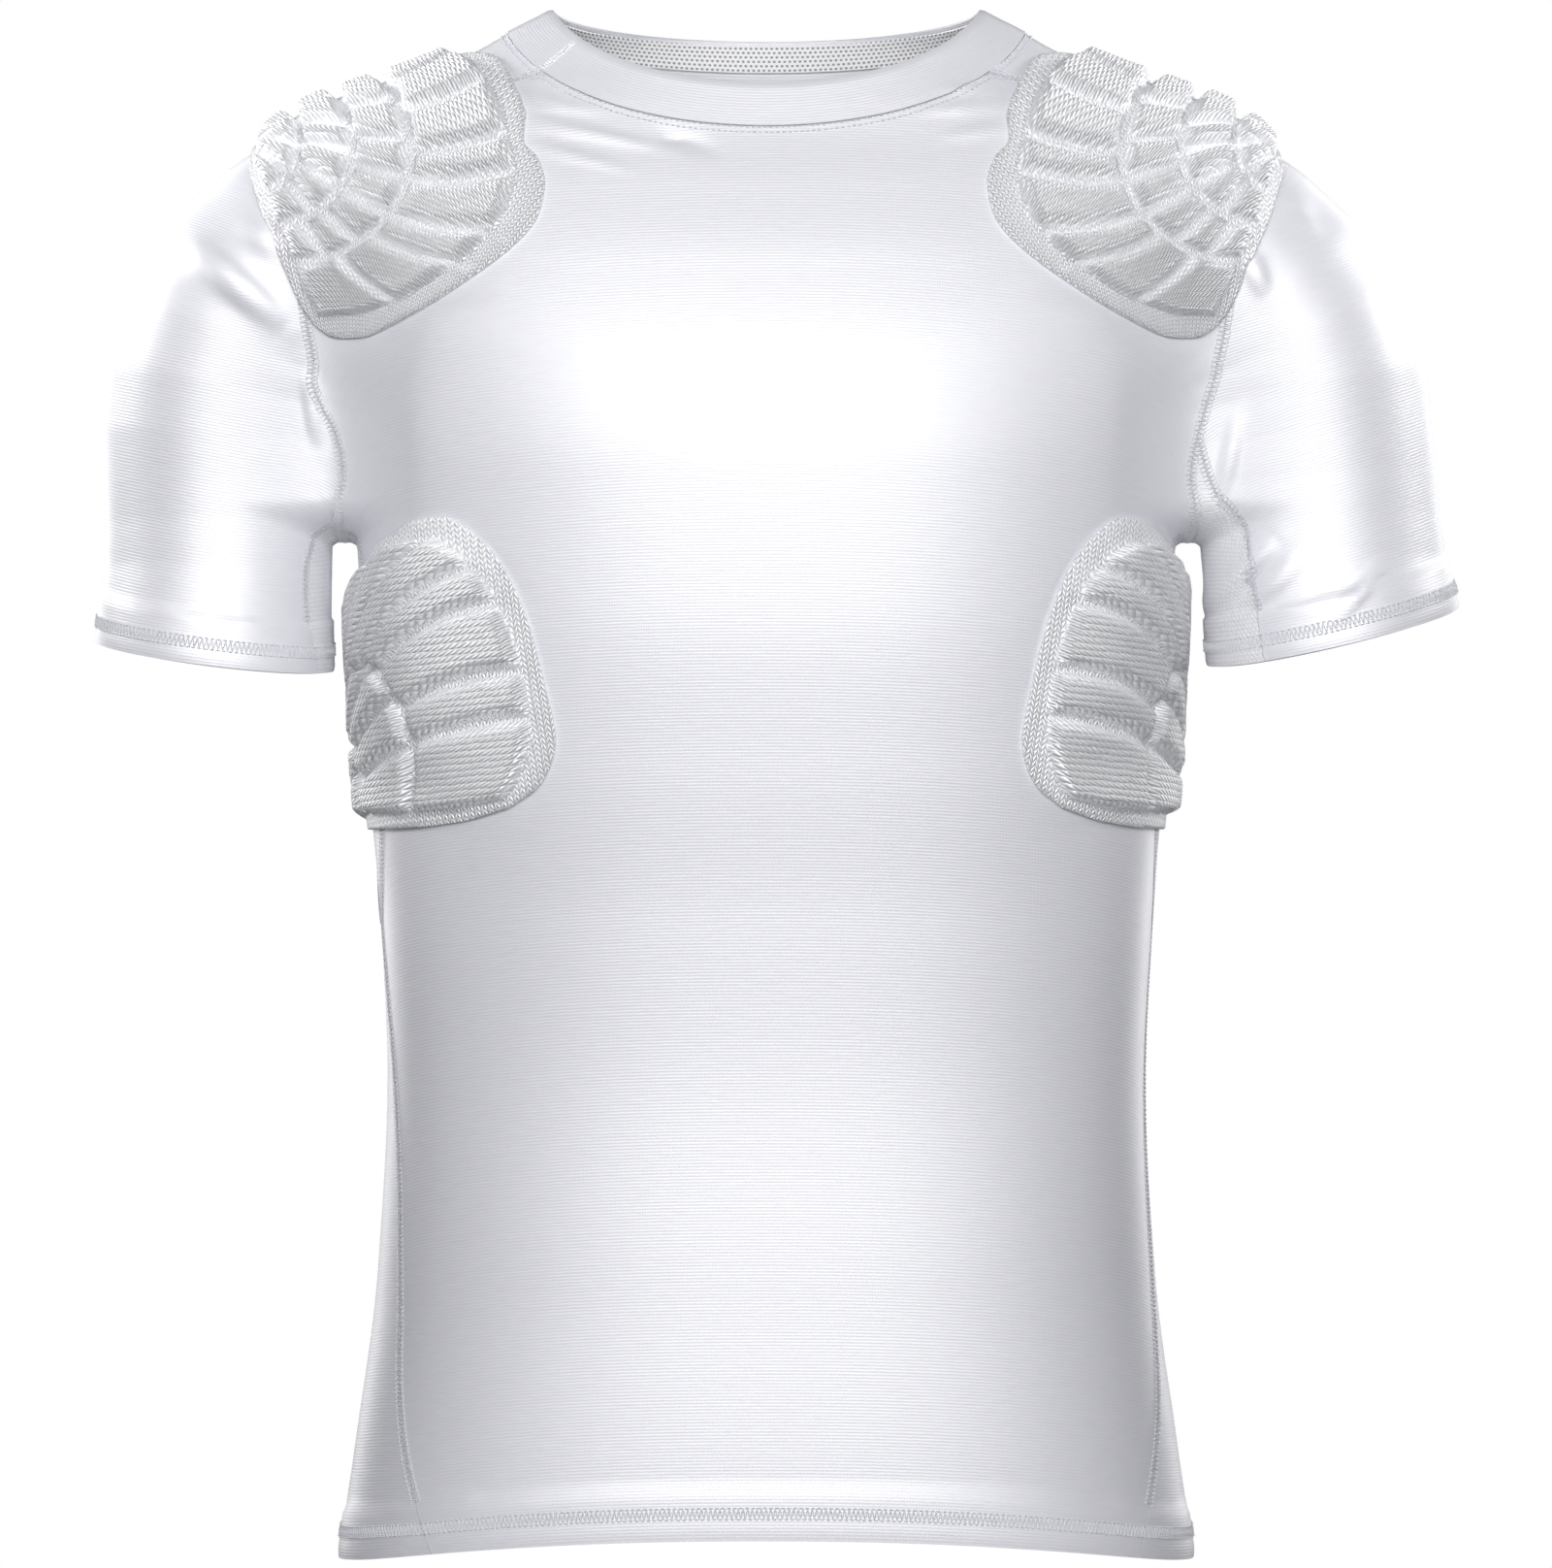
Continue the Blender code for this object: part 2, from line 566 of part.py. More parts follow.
def armhole_seams(side):
    """The armhole's stretches from their lower to their upper ends, and the underarm seam, back to front."""
    points = np.stack([SIDES[side] * ARMHOLE["out"], ARMHOLE["fore"], ARMHOLE["height"]], axis=1)
    under = armpit_line(side, ARMHOLE["fore"][-1], ARMHOLE["fore"][0])
    points[0], points[-1] = under[-1], under[0]
    front = settle(curve_through(points[:ARMHOLE_SHOULDER_ROW + 1]))
    back = settle(curve_through(points[ARMHOLE_SHOULDER_ROW:])[::-1])
    cut = int(round(CUFF[side]["notch"] * (len(front) - 1)))
    back_cut = int(round(CUFF[side]["back_notch"] * (len(back) - 1)))
    return {
        "under": settle(evenly(under, UNDERARM_STEPS)),
        "front_low": settle(evenly(front[:cut + 1], NOTCH_STEPS)),
        "front_high": settle(evenly(front[cut:], ARMHOLE_FRONT_STEPS)),
        "back_low": settle(evenly(back[:back_cut + 1], NOTCH_STEPS)),
        "back_high": settle(evenly(back[back_cut:], ARMHOLE_BACK_STEPS)),
    }


def hem_height(angle):
    """The hem rises a little towards the middle of the front and back."""
    return -BODY_LENGTH + HEM_ARCH * np.sin(np.radians(np.abs(angle))) ** 2


def seam_angle(side, height):
    return smooth_between(SIDE_SEAM[side]["height"], SIDE_SEAM[side]["angle"], height)


def side_seams(side, armhole):
    """Front and back edges of the body pieces: the shared seam below the gusset, then its two edges."""
    hem = hem_height(seam_angle(side, -BODY_LENGTH))
    heights = np.concatenate([[hem, hem + HEM_DEPTH], SIDE_ROWS])
    below = torso_point(side, seam_angle(side, heights), heights)
    edge = GUSSET_EDGE[side]
    tip_angle = SIDE_SEAM[side]["angle"][-1]
    edges = {}
    for face, corner in (("front", armhole["front_low"][0]), ("back", armhole["back_low"][0])):
        points = [below[-1],
                  torso_point(side, tip_angle + GUSSET_SPREAD * (edge[face] - tip_angle), GUSSET_HEIGHTS[0]),
                  torso_point(side, edge[face], GUSSET_HEIGHTS[1]),
                  torso_point(side, edge[face], GUSSET_HEIGHTS[2]), corner]
        if face == "back":
            step = np.array([0.0, GUSSET_TIP_WIDTH, 0.0])
            points[0] = settle(below[-1:] + step)[0]
        edges[face] = seam_line(points, GUSSET_STEPS)
    return below, edges


def cuff_line(side, angles):
    """Points of the sleeve's end, in degrees from the inner side towards the front."""
    cuff, sign = CUFF[side], SIDES[side]
    turn = np.radians(angles)[:, None]
    inner = np.array([-sign, 0, -cuff["tilt"]])
    fore = np.array([0, -1, -cuff["fore_tilt"]])
    middle = np.array([sign * cuff["out"], CUFF_FORE, cuff["height"]])
    settled = settle(middle + CUFF_RADIUS * (np.cos(turn) * inner + np.sin(turn) * fore))
    for _ in range(CUFF_ROUNDS):
        offset = settled - middle
        settled[:, 2] = middle[2] + (-sign * offset[:, 0]) * -cuff["tilt"] + offset[:, 1] * cuff["fore_tilt"]
        settled = settle(settled)
    return settled


# The pieces

def body_pieces(armholes, sides):
    neck_turn = math.degrees(math.acos(SHOULDER_SEAM_OUT / NECK_SEAM["half_width"]))
    neck_front = neck_line(NECK_SEAM, np.linspace(180 - neck_turn, neck_turn, NECK_FRONT_STEPS + 1))
    neck_back = neck_line(NECK_SEAM, np.linspace(180 - neck_turn, 360 + neck_turn, NECK_BACK_STEPS + 1))
    neck_front, neck_back = settle(neck_front), settle(neck_back)
    shoulder = {}
    for side, corner in (("right", neck_front[0]), ("left", neck_front[-1])):
        outer = armholes[side]["front_high"][-1]
        middle = 0.5 * (corner + outer) + np.array(SHOULDER_SEAM_RISE)
        shoulder[side] = seam_line([corner, middle, outer], SHOULDER_STEPS)
    necks = {"front": neck_front, "back": neck_back}
    middles = {"front": 90.0, "back": -90.0}
    for face, neck in necks.items():
        edges = {}
        for side in SIDES:
            below, edge = sides[side]
            above = edge[face][1:] if face == "front" else edge[face]
            low, high = armholes[side][face + "_low"], armholes[side][face + "_high"]
            edges[side] = np.concatenate([below, above, low[1:], high[1:]])
        top = np.concatenate([shoulder["right"][::-1][:-1], neck, shoulder["left"][1:]])
        half_hems = []
        for side in SIDES:
            angles = np.linspace(seam_angle(side, -BODY_LENGTH), middles[face], SEAM_POINTS)
            half_hems.append(torso_point(side, angles, hem_height(angles)))
        low = evenly(np.concatenate([half_hems[0][:-1], half_hems[1][::-1]]), len(top) - 1)
        sheet = patch(low, top, edges["right"], edges["left"])
        sheet[1] = settle(sheet[0] + np.array([0, 0, HEM_DEPTH]))
        cloth_wall(face + "_panel", sheet, hem_thickness(sheet), KNIT, ("high", "start", "end"))
    ring = np.concatenate([neck_front, neck_back[::-1][1:-1]])
    return ring, neck_turn


def gusset_piece(side, armhole, sides):
    edge = sides[side][1]
    low = np.linspace(edge["front"][0], edge["back"][0], UNDERARM_STEPS + 1)
    sheet = patch(low, armhole["under"][::-1], edge["front"], edge["back"])
    cloth_wall("side_gusset_" + side, sheet, CLOTH_WALL, MESH, ("low", "high", "start", "end"))


def sleeve_pieces(side, armhole):
    cuff = CUFF[side]
    strip = np.concatenate([armhole["front_low"][::-1], armhole["under"][::-1][1:], armhole["back_low"][1:]])
    cap = np.concatenate([armhole["front_high"], armhole["back_high"][::-1][1:]])
    strip_cuff = cuff_line(side, np.linspace(cuff["strip_front"], cuff["strip_back"], len(strip)))
    cap_cuff = cuff_line(side, np.linspace(cuff["strip_front"], cuff["strip_back"] + 360, len(cap)))
    seams = []
    for end, top, bow in ((cap_cuff[0], cap[0], -SLEEVE_SEAM_BOW), (cap_cuff[-1], cap[-1], SLEEVE_SEAM_BOW)):
        seam = seam_line([end, 0.5 * (end + top) + np.array([0, bow, 0]), top], SLEEVE_ROWS)
        along = lengths_along(seam)
        marks = np.concatenate([[0], np.linspace(HEM_DEPTH, along[-1], SLEEVE_ROWS)])
        seams.append(settle(np.stack([np.interp(marks, along, seam[:, k]) for k in range(3)], axis=1)))
    panels = (("sleeve_", cap_cuff, cap, KNIT), ("sleeve_gusset_", strip_cuff, strip, MESH))
    for name, low, high, finish in panels:
        sheet = patch(low, high, *seams)
        cloth_wall(name + side, sheet, hem_thickness(sheet), finish, ("high", "start", "end"))


def collar_piece(ring, neck_turn):
    """A folded band that stands on the neck seam, all the way round."""
    front = np.linspace(180 - neck_turn, neck_turn, NECK_FRONT_STEPS + 1)
    back = np.linspace(180 - neck_turn, 360 + neck_turn, NECK_BACK_STEPS + 1)[::-1][1:-1]
    top = settle(neck_line(NECK_TOP, np.concatenate([front, back])))
    rows = [ring + (top - ring) * share for share in np.linspace(0, 1, COLLAR_ROWS + 1)]
    sheet = settle(np.stack(rows))
    node = cloth_wall("collar_band", sheet, COLLAR_WALL, KNIT, ("low",), ring=True)
    return sheet, node


def tape_piece(collar, collar_node):
    """A thin tape inside the back of the collar, made from the collar's own points."""
    back = np.concatenate([collar, collar[:, :1]], axis=1)[:, NECK_FRONT_STEPS:]
    back = back[:, TAPE_SKIP:back.shape[1] - TAPE_SKIP]
    low, high = back[0], back[-1]
    rows = np.stack([low + (high - low) * share for share in (TAPE_BOTTOM_SHARE, TAPE_TOP_SHARE)])
    inward = -outward(rows)
    columns = rows.shape[1]
    triangles = strip_triangles([(0, c) for c in range(columns)], [(1, c) for c in range(columns)])
    lift = lift_over(rows, inward, triangles, tree_of([collar_node]), TAPE_LIFT)[..., None]
    points = np.concatenate([rows + inward * (lift + TAPE_WALL), rows + inward * lift]).reshape(-1, 3)
    rim = [face for face in wall_faces(2, columns) if not (min(face) >= 2 * columns)]
    outside = [tuple(2 * columns + r * columns + c for r, c in triangle) for triangle in triangles]
    faces = rim + [tuple(reversed(face)) for face in outside]
    add_node("neck_tape", points, facing(points, faces), TAPE)


# Pads

def cell_places(cuts):
    """Where each of a band's lines lies: close to each cut, the lines form the cell's shoulders."""
    places = np.zeros(PAD_LINES + 1)
    for low, high in zip(cuts[:-1], cuts[1:]):
        count = high - low
        if count > 2:
            inner = np.linspace(PAD_SHOULDER_SHARE, 1 - PAD_SHOULDER_SHARE, count - 1)
        else:
            inner = np.array([0.5])
        places[low:high] = low + count * np.concatenate([[0], inner])
    places[-1] = PAD_LINES
    return places / PAD_LINES


def pad_rows(bands):
    """For each row of a pad: its share of the way out, its lines' shares along, and which of them stand up."""
    places = [cell_places(band["cuts"]) for band in bands]
    rows = []
    for n, band in enumerate(bands):
        seam = places[n] if n == 0 else 0.5 * (places[n] + places[n - 1])
        rows.append((band["from"], seam, np.zeros(PAD_LINES + 1)))
        raised = np.where(np.isin(np.arange(PAD_LINES + 1), band["cuts"]), 0.0, 1.0)
        for share in (PAD_SHOULDER_SHARE, 1 - PAD_SHOULDER_SHARE):
            rows.append((band["from"] + (band["to"] - band["from"]) * share, places[n], raised))
    rows.append((1.0, places[-1], np.zeros(PAD_LINES + 1)))
    return (np.array(part) for part in zip(*rows))


def sampled(base, out, along):
    """Points of a fine sheet at shares of the way out and along."""
    last = len(base) - 1
    i, j = (np.minimum((share * last).astype(int), last - 1) for share in (out, along))
    s, t = (out * last - i)[..., None], (along * last - j)[..., None]
    return ((1 - s) * ((1 - t) * base[i, j] + t * base[i, j + 1])
            + s * ((1 - t) * base[i + 1, j] + t * base[i + 1, j + 1]))


def pad_sheet(kind, edges):
    """Points on the shirt for each row and line of a pad, and how far each stands up."""
    lines = {name: seam_line(points, PAD_BASE_STEPS) for name, points in edges.items()}
    base = patch(lines["root"], lines["far"], lines["front_edge"], lines["back_edge"], PAD_SMOOTHING)
    widths = np.linalg.norm(np.diff(base, axis=1), axis=2).sum(axis=1)
    lengths = np.linalg.norm(np.diff(base, axis=0), axis=2).sum(axis=0)
    shares = np.linspace(0, 1, PAD_BASE_STEPS + 1)
    share, place, raised = pad_rows(PAD_BANDS[kind])
    side = np.minimum(PAD_BORDER / np.interp(share, shares, widths), PAD_BORDER_LIMIT)[:, None]
    along = side + (1 - 2 * side) * place
    end = np.minimum(PAD_BORDER / np.interp(along, shares, lengths), PAD_BORDER_LIMIT)
    out = PAD_ROOT_BORDER_SHARE * end + (1 - (1 + PAD_ROOT_BORDER_SHARE) * end) * share[:, None]
    along = np.pad(along, ((0, 0), (1, 1)), constant_values=(0, 1))
    out = np.pad(out, ((0, 0), (1, 1)), mode="edge")
    along = np.concatenate([along[:1], along, along[-1:]])
    out = np.pad(out, ((1, 1), (0, 0)), constant_values=(0, 1))
    along = along + PAD_RAY_BEND[kind] * 4 * out * (1 - out) * np.sin(math.pi * along)
    return settle(sampled(base, out, np.clip(along, 0, 1))), np.pad(raised, 1)


def back_cells(rows, columns):
    """A pad's plain back: every second line, with the rim's own points kept."""
    marks = sorted(set(range(0, columns, PAD_BACK_STEP)) | {columns - 1})
    cells = []
    for r in range(rows - 1):
        for c0, c1 in zip(marks[:-1], marks[1:]):
            low = [(r, c) for c in (range(c0, c1) if r == 0 else (c0,))] + [(r, c1)]
            high = [(r + 1, c) for c in (range(c0, c1) if r == rows - 2 else (c0,))] + [(r + 1, c1)]
            cells.append((low, high))
    return cells


def strip_triangles(low, high):
    """Triangles between two rows of points whose ends match."""
    triangles = []
    i = j = 0
    while i < len(low) - 1 or j < len(high) - 1:
        if j == len(high) - 1 or (i < len(low) - 1 and i * (len(high) - 1) <= j * (len(low) - 1)):
            triangles.append((low[i], high[j], low[i + 1]))
            i += 1
        else:
            triangles.append((low[i], high[j], high[j + 1]))
            j += 1
    return triangles


def lift_over(sheet, normal, triangles, cloth_tree, gap, start=0.0):
    """How far each point goes out so that no triangle between them comes nearer to the cloth than the gap."""
    lift = np.full(sheet.shape[:2], start + gap)
    steps = PAD_SEARCH_STEPS
    shares = [(a / steps, b / steps) for a in range(steps + 1) for b in range(steps + 1 - a)]
    for _ in range(PAD_SEARCH_ROUNDS):
        need = np.zeros_like(lift)
        for corners in triangles:
            p = np.array([sheet[k] + normal[k] * lift[k] for k in corners])
            way = np.cross(p[1] - p[0], p[2] - p[0])
            mean = sum(normal[k] for k in corners)
            way *= np.sign(way @ mean) / np.linalg.norm(way)
            short = 0.0
            for a, b in shares:
                at = p[0] + a * (p[1] - p[0]) + b * (p[2] - p[0])
                hit = cloth_tree.ray_cast(Vector(at + way * PAD_SEARCH), Vector(-way), 2 * PAD_SEARCH)
                if hit[0] is not None:
                    short = max(short, gap - (hit[3] - PAD_SEARCH))
            for k in corners:
                need[k] = max(need[k], short)
        lift += np.clip(need, 0, None)
    return lift


def pad_piece(kind, side, edges, cloth_tree):
    sheet, raised = pad_sheet(kind, edges)
    normal = outward(sheet)
    rows, columns = sheet.shape[:2]
    triangles = [t for low, high in back_cells(rows, columns) for t in strip_triangles(low, high)]
    lift = lift_over(sheet, normal, triangles, cloth_tree, PAD_LIFT, CLOTH_WALL)
    under = sheet + normal * lift[..., None]
    over = under + normal * (PAD_FLANGE + PAD_CELL_HEIGHT * raised)[..., None]
    points = np.concatenate([under.reshape(-1, 3), over.reshape(-1, 3)])
    size = rows * columns
    front = [face for face in wall_faces(rows, columns) if max(face) >= size]
    back = [tuple(r * columns + c for r, c in triangle) for triangle in triangles]
    faces = front + back
    used = sorted({i for face in faces for i in face})
    place = {i: n for n, i in enumerate(used)}
    faces = [tuple(place[i] for i in face) for face in faces]
    points = points[used]
    add_node(kind + "_pad_" + side, points, facing(points, faces), PAD)


def shoulder_pad_edges(side):
    return {name: [seen_from(face, side, out, other) for face, out, other in points]
            for name, points in SHOULDER_PAD.items()}


def rib_pad_edges(side):
    turn = RIB_PAD_TURN[side]
    return {name: [torso_point(side, angle + turn, height) for angle, height in points]
            for name, points in RIB_PAD.items()}


def tree_of(nodes):
    points, faces = [], []
    for node in nodes:
        start = len(points)
        points += [v.co.copy() for v in node.data.vertices]
        faces += [tuple(start + i for i in p.vertices) for p in node.data.polygons]
    return BVHTree.FromPolygons(points, faces)


for old in list(bpy.data.objects):
    bpy.data.objects.remove(old, do_unlink=True)
SHIRT = bpy.data.collections.new("padded compression shirt")
bpy.context.scene.collection.children.link(SHIRT)

armholes = {side: armhole_seams(side) for side in SIDES}
sides = {side: side_seams(side, armholes[side]) for side in SIDES}
neck_ring, neck_corner = body_pieces(armholes, sides)
for side in SIDES:
    gusset_piece(side, armholes[side], sides)
    sleeve_pieces(side, armholes[side])
tape_piece(*collar_piece(neck_ring, neck_corner))
cloth = tree_of(SHIRT.objects)
for side in SIDES:
    pad_piece("shoulder", side, shoulder_pad_edges(side), cloth)
    pad_piece("rib", side, rib_pad_edges(side), cloth)
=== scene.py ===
import math
import bpy
import numpy as np
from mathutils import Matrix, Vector


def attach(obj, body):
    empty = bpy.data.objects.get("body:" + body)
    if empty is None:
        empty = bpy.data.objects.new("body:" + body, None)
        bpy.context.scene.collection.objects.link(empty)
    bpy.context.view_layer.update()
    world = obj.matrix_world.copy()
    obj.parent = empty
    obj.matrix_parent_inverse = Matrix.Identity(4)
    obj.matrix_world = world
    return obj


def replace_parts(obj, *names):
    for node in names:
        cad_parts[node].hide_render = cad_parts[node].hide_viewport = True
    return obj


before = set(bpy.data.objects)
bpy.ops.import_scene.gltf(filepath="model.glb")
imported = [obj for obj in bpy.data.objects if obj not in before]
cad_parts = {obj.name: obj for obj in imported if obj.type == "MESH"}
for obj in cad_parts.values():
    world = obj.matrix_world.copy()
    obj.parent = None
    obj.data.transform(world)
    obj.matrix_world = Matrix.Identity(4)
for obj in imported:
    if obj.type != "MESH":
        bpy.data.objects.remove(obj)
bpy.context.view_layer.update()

print("frame loaded:", ", ".join(sorted(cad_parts)))

# The whole shirt: what a user would change first
shirt = {
    "clothWall": 0.0016, "hemWall": 0.0027, "hemDepth": 0.022, "collarWall": 0.0024, "tapeWall": 0.0010,
    "seamGap": 0.0004, "bodyLength": 0.688, "hemArch": 0.018, "fineness": 8,
    "hemStep": 0.0014, "rimDepth": 0.0008, "rimRound": 0.0005, "sharpAngle": 60,
}
sideSign = {"right": -1.0, "left": 1.0}

# Camera and light
camera = {"distance": 3.1, "acrossView": 0.704, "lookAt": (0.0044, 0.0, -0.3388)}
softboxes = {
    "keyHigh": {"turn": -10, "rise": 28, "away": 2.4, "size": (2.2, 1.1), "watts": 24},
    "keyLow": {"turn": 6, "rise": 14, "away": 2.6, "size": (2.7, 1.5), "watts": 43},
    "rimRight": {"turn": -142, "rise": 12, "away": 2.0, "size": (0.8, 1.8), "watts": 22},
    "rimLeft": {"turn": 142, "rise": 12, "away": 2.0, "size": (0.8, 1.8), "watts": 20},
    "armRight": {"turn": -105, "rise": 20, "away": 1.3, "size": (0.4, 0.4), "watts": 0.5, "spread": 26},
    "armLeft": {"turn": 105, "rise": 20, "away": 1.3, "size": (0.4, 0.4), "watts": 0.35, "spread": 26},
}
armHeight = -0.15  # where the narrow lamps point
studioFill = {"colour": (0.88, 0.90, 1.0, 1), "strength": 0.05}


def aim(thing, target):
    way = Vector(target) - thing.location
    thing.rotation_euler = way.to_track_quat("-Z", "Y").to_euler()


def makeCamera():
    lens = bpy.data.cameras.new("photoCamera")
    lens.sensor_fit = "HORIZONTAL"
    lens.sensor_width = 36.0
    lens.lens = lens.sensor_width * camera["distance"] / camera["acrossView"]
    eye = bpy.data.objects.new("photoCamera", lens)
    bpy.context.scene.collection.objects.link(eye)
    eye.location = Vector(camera["lookAt"]) + Vector((0, -camera["distance"], 0))
    aim(eye, camera["lookAt"])
    bpy.context.scene.camera = eye


def makeLights():
    for name, box in softboxes.items():
        lamp = bpy.data.lights.new(name, "AREA")
        lamp.shape = "RECTANGLE"
        lamp.size, lamp.size_y = box["size"]
        lamp.energy = box["watts"]
        lamp.spread = math.radians(box.get("spread", 180))
        target = Vector(camera["lookAt"])
        if "spread" in box:
            target.z = armHeight
        stand = bpy.data.objects.new(name, lamp)
        bpy.context.scene.collection.objects.link(stand)
        turn, rise = math.radians(box["turn"]), math.radians(box["rise"])
        way = Vector((math.sin(turn) * math.cos(rise), -math.cos(turn) * math.cos(rise), math.sin(rise)))
        stand.location = target + box["away"] * way
        aim(stand, target)
    world = bpy.data.worlds.new("paleStudio")
    bpy.context.scene.world = world
    world.use_nodes = True
    nodes, links = world.node_tree.nodes, world.node_tree.links
    nodes.clear()
    seen, fill = nodes.new("ShaderNodeBackground"), nodes.new("ShaderNodeBackground")
    seen.inputs["Color"].default_value, seen.inputs["Strength"].default_value = (1, 1, 1, 1), 1.0
    fill.inputs["Color"].default_value = studioFill["colour"]
    fill.inputs["Strength"].default_value = studioFill["strength"]
    path, mix = nodes.new("ShaderNodeLightPath"), nodes.new("ShaderNodeMixShader")
    out = nodes.new("ShaderNodeOutputWorld")
    links.new(path.outputs["Is Camera Ray"], mix.inputs["Fac"])
    links.new(fill.outputs[0], mix.inputs[1])
    links.new(seen.outputs[0], mix.inputs[2])
    links.new(mix.outputs[0], out.inputs["Surface"])
    bpy.context.scene.view_settings.view_transform = "Standard"


makeCamera()
makeLights()
print("camera and lights set")

# The shirt's form: level sections of the body, and the middle line of each arm opening


def table(columns, *rows):
    return {name: np.array(values, float) for name, values in zip(columns, zip(*rows))}


torso = table(
    ("height", "halfWidth", "front", "back", "squareness"),
    (-0.760, 0.1960, 0.110, 0.118, 2.30),
    (-0.688, 0.1915, 0.110, 0.118, 2.30),
    (-0.640, 0.1850, 0.108, 0.116, 2.30),
    (-0.560, 0.1745, 0.103, 0.106, 2.30),
    (-0.470, 0.1700, 0.099, 0.097, 2.30),
    (-0.400, 0.1730, 0.102, 0.098, 2.30),
    (-0.330, 0.1790, 0.109, 0.104, 2.30),
    (-0.260, 0.1820, 0.115, 0.110, 2.30),
    (-0.200, 0.1860, 0.116, 0.112, 2.25),
    (-0.150, 0.1930, 0.110, 0.108, 2.20),
    (-0.110, 0.2000, 0.098, 0.099, 2.15),
    (-0.075, 0.2040, 0.083, 0.089, 2.10),
    (-0.050, 0.2030, 0.071, 0.080, 2.05),
    (-0.038, 0.1950, 0.066, 0.075, 2.00),
    (-0.028, 0.1740, 0.062, 0.071, 2.00),
    (-0.018, 0.1500, 0.0585, 0.067, 2.00),
    (-0.008, 0.1300, 0.0560, 0.064, 2.00),
    (0.000, 0.1160, 0.0540, 0.062, 2.00),
    (0.011, 0.0955, 0.0510, 0.059, 2.00),
    (0.030, 0.0750, 0.0480, 0.056, 2.00),
    (0.060, 0.0680, 0.0470, 0.055, 2.00),
)
arm = {
    "right": table(
        ("out", "fore", "height", "radius"),
        (0.150, 0.004, -0.085, 0.045),
        (0.186, 0.002, -0.092, 0.050),
        (0.209, 0.000, -0.103, 0.053),
        (0.234, 0.000, -0.128, 0.0535),
        (0.245, 0.000, -0.154, 0.0530),
        (0.248, 0.000, -0.190, 0.0515),
        (0.248, -0.002, -0.235, 0.0495),
        (0.250, -0.004, -0.275, 0.0515),
        (0.252, -0.006, -0.330, 0.0560),
    ),
    "left": table(
        ("out", "fore", "height", "radius"),
        (0.150, 0.004, -0.085, 0.045),
        (0.184, 0.002, -0.092, 0.050),
        (0.206, 0.000, -0.103, 0.053),
        (0.231, 0.000, -0.128, 0.0535),
        (0.243, 0.000, -0.154, 0.0535),
        (0.248, 0.000, -0.190, 0.0530),
        (0.252, -0.002, -0.235, 0.0530),
        (0.257, -0.004, -0.272, 0.0560),
        (0.264, -0.006, -0.330, 0.0590),
    ),
}
armStations = 15
cuff = {
    "fore": -0.005, "radius": 0.052,
    "right": {"out": 0.2495, "height": -0.281, "tilt": 0.13, "foreTilt": 0.10,
              "stripFront": 26.0, "stripBack": -44.0, "notch": 0.10, "backNotch": 0.22},
    "left": {"out": 0.2560, "height": -0.272, "tilt": 0.24, "foreTilt": 0.10,
             "stripFront": 54.0, "stripBack": -24.0, "notch": 0.30, "backNotch": 0.14},
}
bridge = table(
    ("height", "width"),
    (-0.300, 0.002), (-0.240, 0.002), (-0.212, 0.064), (-0.160, 0.056), (-0.110, 0.040), (0.000, 0.040),
)
# Folds: a soft ridge from one point to another. face -1 is the front, 1 the back
folds = table(
    ("fromX", "fromZ", "toX", "toZ", "halfWidth", "rise", "face"),
    (-0.262, -0.095, -0.212, -0.136, 0.0055, 0.0045, -1),
    (-0.236, -0.086, -0.214, -0.104, 0.0050, 0.0025, -1),
    (0.214, -0.100, 0.222, -0.122, 0.0040, 0.0025, -1),
    (0.196, -0.262, 0.229, -0.228, 0.0045, 0.0035, -1),
    (0.214, -0.262, 0.240, -0.236, 0.0045, 0.0025, -1),
    (-0.114, -0.034, -0.070, -0.041, 0.0018, 0.0013, -1),
    (-0.112, -0.043, -0.046, -0.058, 0.0020, 0.0017, -1),
    (-0.110, -0.054, -0.060, -0.068, 0.0020, 0.0012, -1),
    (-0.048, -0.0545, -0.033, -0.0545, 0.0013, -0.0009, -1),
    (0.112, -0.028, 0.074, -0.031, 0.0018, 0.0013, -1),
    (0.112, -0.036, 0.066, -0.041, 0.0020, 0.0016, -1),
    (0.110, -0.047, 0.076, -0.053, 0.0020, 0.0009, -1),
    (0.2500, -0.2685, 0.2770, -0.2390, 0.0026, 0.0020, -1),
    (-0.052, -0.049, -0.020, -0.060, 0.0040, -0.0012, -1),
    (0.232, -0.076, 0.246, -0.082, 0.0028, 0.0012, -1),
    (0.236, -0.083, 0.247, -0.093, 0.0026, 0.0012, -1),
    (-0.200, -0.190, -0.206, -0.150, 0.0035, 0.0012, -1),
    (0.203, -0.215, 0.212, -0.170, 0.0035, 0.0012, -1),
    (-0.262, -0.100, -0.214, -0.142, 0.0060, 0.0035, 1),
    (0.262, -0.100, 0.214, -0.142, 0.0060, 0.0030, 1),
    (-0.060, -0.032, -0.020, -0.045, 0.0040, 0.0012, 1),
    (0.060, -0.032, 0.020, -0.045, 0.0040, 0.0012, 1),
    (-0.200, -0.205, -0.150, -0.240, 0.0060, 0.0022, 1),
    (0.200, -0.205, 0.150, -0.240, 0.0060, 0.0022, 1),
    (-0.120, -0.440, 0.090, -0.455, 0.0090, 0.0016, 1),
    (-0.080, -0.480, 0.130, -0.470, 0.0090, 0.0014, 1),
)
